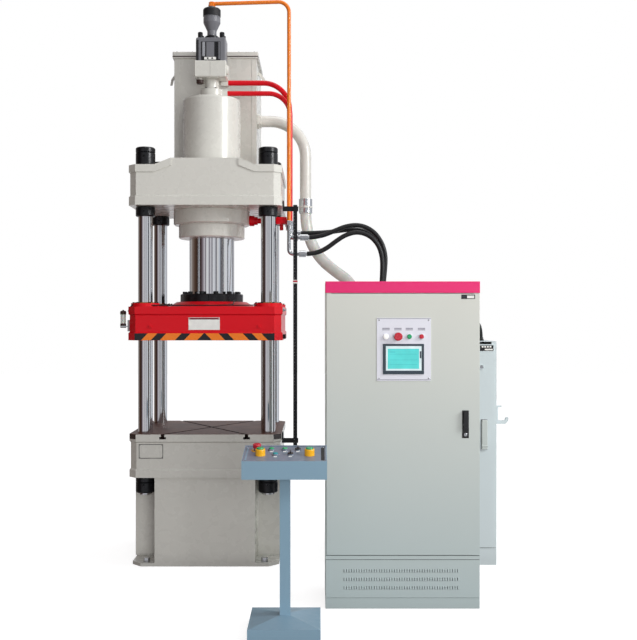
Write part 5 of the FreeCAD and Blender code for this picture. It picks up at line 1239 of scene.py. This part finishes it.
class PRESS_OT_stage(bpy.types.Operator):
    """Pale floor, soft studio light and the camera"""
    bl_idname = "press.stage"
    bl_label = "Stage, lights and camera"

    def execute(self, context):
        sizes = context.scene.press_sizes
        mesh = bpy.data.meshes.new("studio_floor")
        half = 20.0
        corners = [(-half, -half, 0), (half, -half, 0), (half, half, 0), (-half, half, 0)]
        mesh.from_pydata(corners, [], [(0, 1, 2, 3)])
        floor = bpy.data.objects.new("studio_floor", mesh)
        material, tree, shader, place = begin("pale_floor")
        tint = ramp(tree, noise(tree, place, 900, 2), 0, 1)
        tree.links.new(shade(tree, tint, srgb("#B4B4B3"), srgb("#BCBCBB")), shader.inputs["Base Color"])
        shader.inputs["Roughness"].default_value = 0.7
        shader.inputs["Specular IOR Level"].default_value = 0.1
        shader.inputs["Emission Color"].default_value = (1, 1, 1, 1)
        shader.inputs["Emission Strength"].default_value = 0.8
        dark = add(tree, "ShaderNodeBsdfDiffuse", Color=srgb("#54443C"))
        bounced = add(tree, "ShaderNodeLightPath").outputs["Is Diffuse Ray"]
        mixed = add(tree, "ShaderNodeMixShader", {0: bounced, 1: shader.outputs[0], 2: dark.outputs[0]})
        mirrored = add(tree, "ShaderNodeLightPath").outputs["Is Glossy Ray"]
        clear = add(tree, "ShaderNodeBsdfTransparent")
        mixed = add(tree, "ShaderNodeMixShader", {0: mirrored, 1: mixed.outputs[0], 2: clear.outputs[0]})
        output = [n for n in tree.nodes if n.type == "OUTPUT_MATERIAL"][0]
        tree.links.new(mixed.outputs[0], output.inputs["Surface"])
        mesh.materials.append(material)
        context.scene.collection.objects.link(floor)
        self.sky(context)
        self.lights(context)
        camera_data = bpy.data.cameras.new("Camera")
        camera_data.sensor_width = 36
        camera_data.lens = 53.44
        camera_data.clip_end = 100
        camera = bpy.data.objects.new("Camera", camera_data)
        camera.location = (0.692, -sizes.camera_distance, sizes.camera_height)
        camera.rotation_euler = (math.pi / 2, 0, 0)
        context.scene.collection.objects.link(camera)
        context.scene.camera = camera
        return {"FINISHED"}

    def sky(self, context):
        """A white backdrop; around it, for reflections, bright and dark bands and a dim warm left side."""
        world = bpy.data.worlds.new("studio")
        context.scene.world = world
        context.scene.view_settings.view_transform = "Standard"
        world.use_nodes = True
        tree = world.node_tree
        tree.nodes.clear()
        way = add(tree, "ShaderNodeTexCoord").outputs["Generated"]
        split = add(tree, "ShaderNodeSeparateXYZ", {"Vector": way})
        turn = add(tree, "ShaderNodeMath", {0: split.outputs["X"], 1: split.outputs["Y"]}, operation="ARCTAN2")
        share = ramp(tree, turn.outputs[0], 0, 1, -math.pi, math.pi)
        band = add(tree, "ShaderNodeValToRGB", {"Fac": share})
        stops = [(0.0, "#F4F4F8"), (0.018, "#7A727C"), (0.034, "#F4F6FA"), (0.058, "#FFFFFF"), (0.072, "#6E6470"),
                 (0.088, "#EFEBF0"), (0.11, "#9C9098"), (0.14, "#4A3A38"), (0.20, "#3E2E26"), (0.25, "#5C463A"),
                 (0.31, "#8E8078"), (0.36, "#CFCCCA"), (0.40, "#4A3A44"), (0.44, "#E8E8EA"), (0.56, "#F0F2F6"),
                 (0.60, "#5A5560"), (0.64, "#F4F8FF"), (0.74, "#F4F8FF"), (0.80, "#FFFFFF"), (0.825, "#3E3E4C"),
                 (0.85, "#25252E"), (0.875, "#E6ECF6"), (0.905, "#FFFFFF"), (0.92, "#5C5864"), (0.94, "#EAECF2"),
                 (0.965, "#FAFCFF"), (0.98, "#7A7480"), (1.0, "#F4F4F8")]
        elements = band.color_ramp.elements
        for n, (position, tint) in enumerate(stops):
            element = elements[n] if n < len(elements) else elements.new(position)
            element.position = position
            element.color = srgb(tint)
        room = add(tree, "ShaderNodeBackground", {"Color": band.outputs["Color"]}, Strength=0.88)
        backdrop = add(tree, "ShaderNodeBackground", Color=(1, 1, 1, 1), Strength=1.0)
        seen = add(tree, "ShaderNodeLightPath").outputs["Is Camera Ray"]
        mixed = add(tree, "ShaderNodeMixShader", {0: seen, 1: room.outputs[0], 2: backdrop.outputs[0]})
        add(tree, "ShaderNodeOutputWorld", {"Surface": mixed.outputs[0]})

    def lights(self, context):
        """A large key light from the right front, a low fill beside the camera and a top light."""
        rows = (("key", (7.0, -4.2, 4.6), 2.6, 370, (0.3, 0.0, 1.6)),
                ("fill", (2.4, -8.2, 1.3), 3.0, 240, (0.2, 0.0, 1.3)),
                ("top", (1.2, 0.4, 6.6), 3.0, 60, (0.4, 0.0, 0.0)))
        for name, place, size, power, aim in rows:
            data = bpy.data.lights.new(name, "AREA")
            data.shape = "SQUARE"
            data.size = size
            data.energy = power
            lamp = bpy.data.objects.new(name, data)
            lamp.location = place
            lamp.rotation_euler = (Vector(aim) - Vector(place)).to_track_quat("-Z", "Y").to_euler()
            lamp.visible_glossy = name != "fill"
            context.scene.collection.objects.link(lamp)


STEPS = (PRESS_OT_paintwork, PRESS_OT_platen_trim, PRESS_OT_frame_trim, PRESS_OT_head_gear,
         PRESS_OT_pipe_unions, PRESS_OT_hoses, PRESS_OT_position_scale, PRESS_OT_tank_trim,
         PRESS_OT_main_cabinet, PRESS_OT_rear_cabinet, PRESS_OT_desk, PRESS_OT_power_unit, PRESS_OT_stage)


class PRESS_PT_steps(bpy.types.Panel):
    """Lists the steps and the settings in the sidebar"""
    bl_label = "Hydraulic press"
    bl_space_type = "VIEW_3D"
    bl_region_type = "UI"
    bl_category = "Press"

    def draw(self, context):
        for group in (context.scene.press_colours, context.scene.press_sizes):
            for name in group.__annotations__:
                self.layout.prop(group, name)
        for step in STEPS:
            self.layout.operator(step.bl_idname)


CLASSES = (PressColours, PressSizes, *STEPS, PRESS_PT_steps)


def register():
    for entry in CLASSES:
        bpy.utils.register_class(entry)
    bpy.types.Scene.press_colours = bpy.props.PointerProperty(type=PressColours)
    bpy.types.Scene.press_sizes = bpy.props.PointerProperty(type=PressSizes)


def unregister():
    del bpy.types.Scene.press_sizes
    del bpy.types.Scene.press_colours
    for entry in reversed(CLASSES):
        bpy.utils.unregister_class(entry)


def main():
    register()
    for step in STEPS:
        area, name = step.bl_idname.split(".")
        getattr(getattr(bpy.ops, area), name)()


if __name__ == "__main__":
    main()
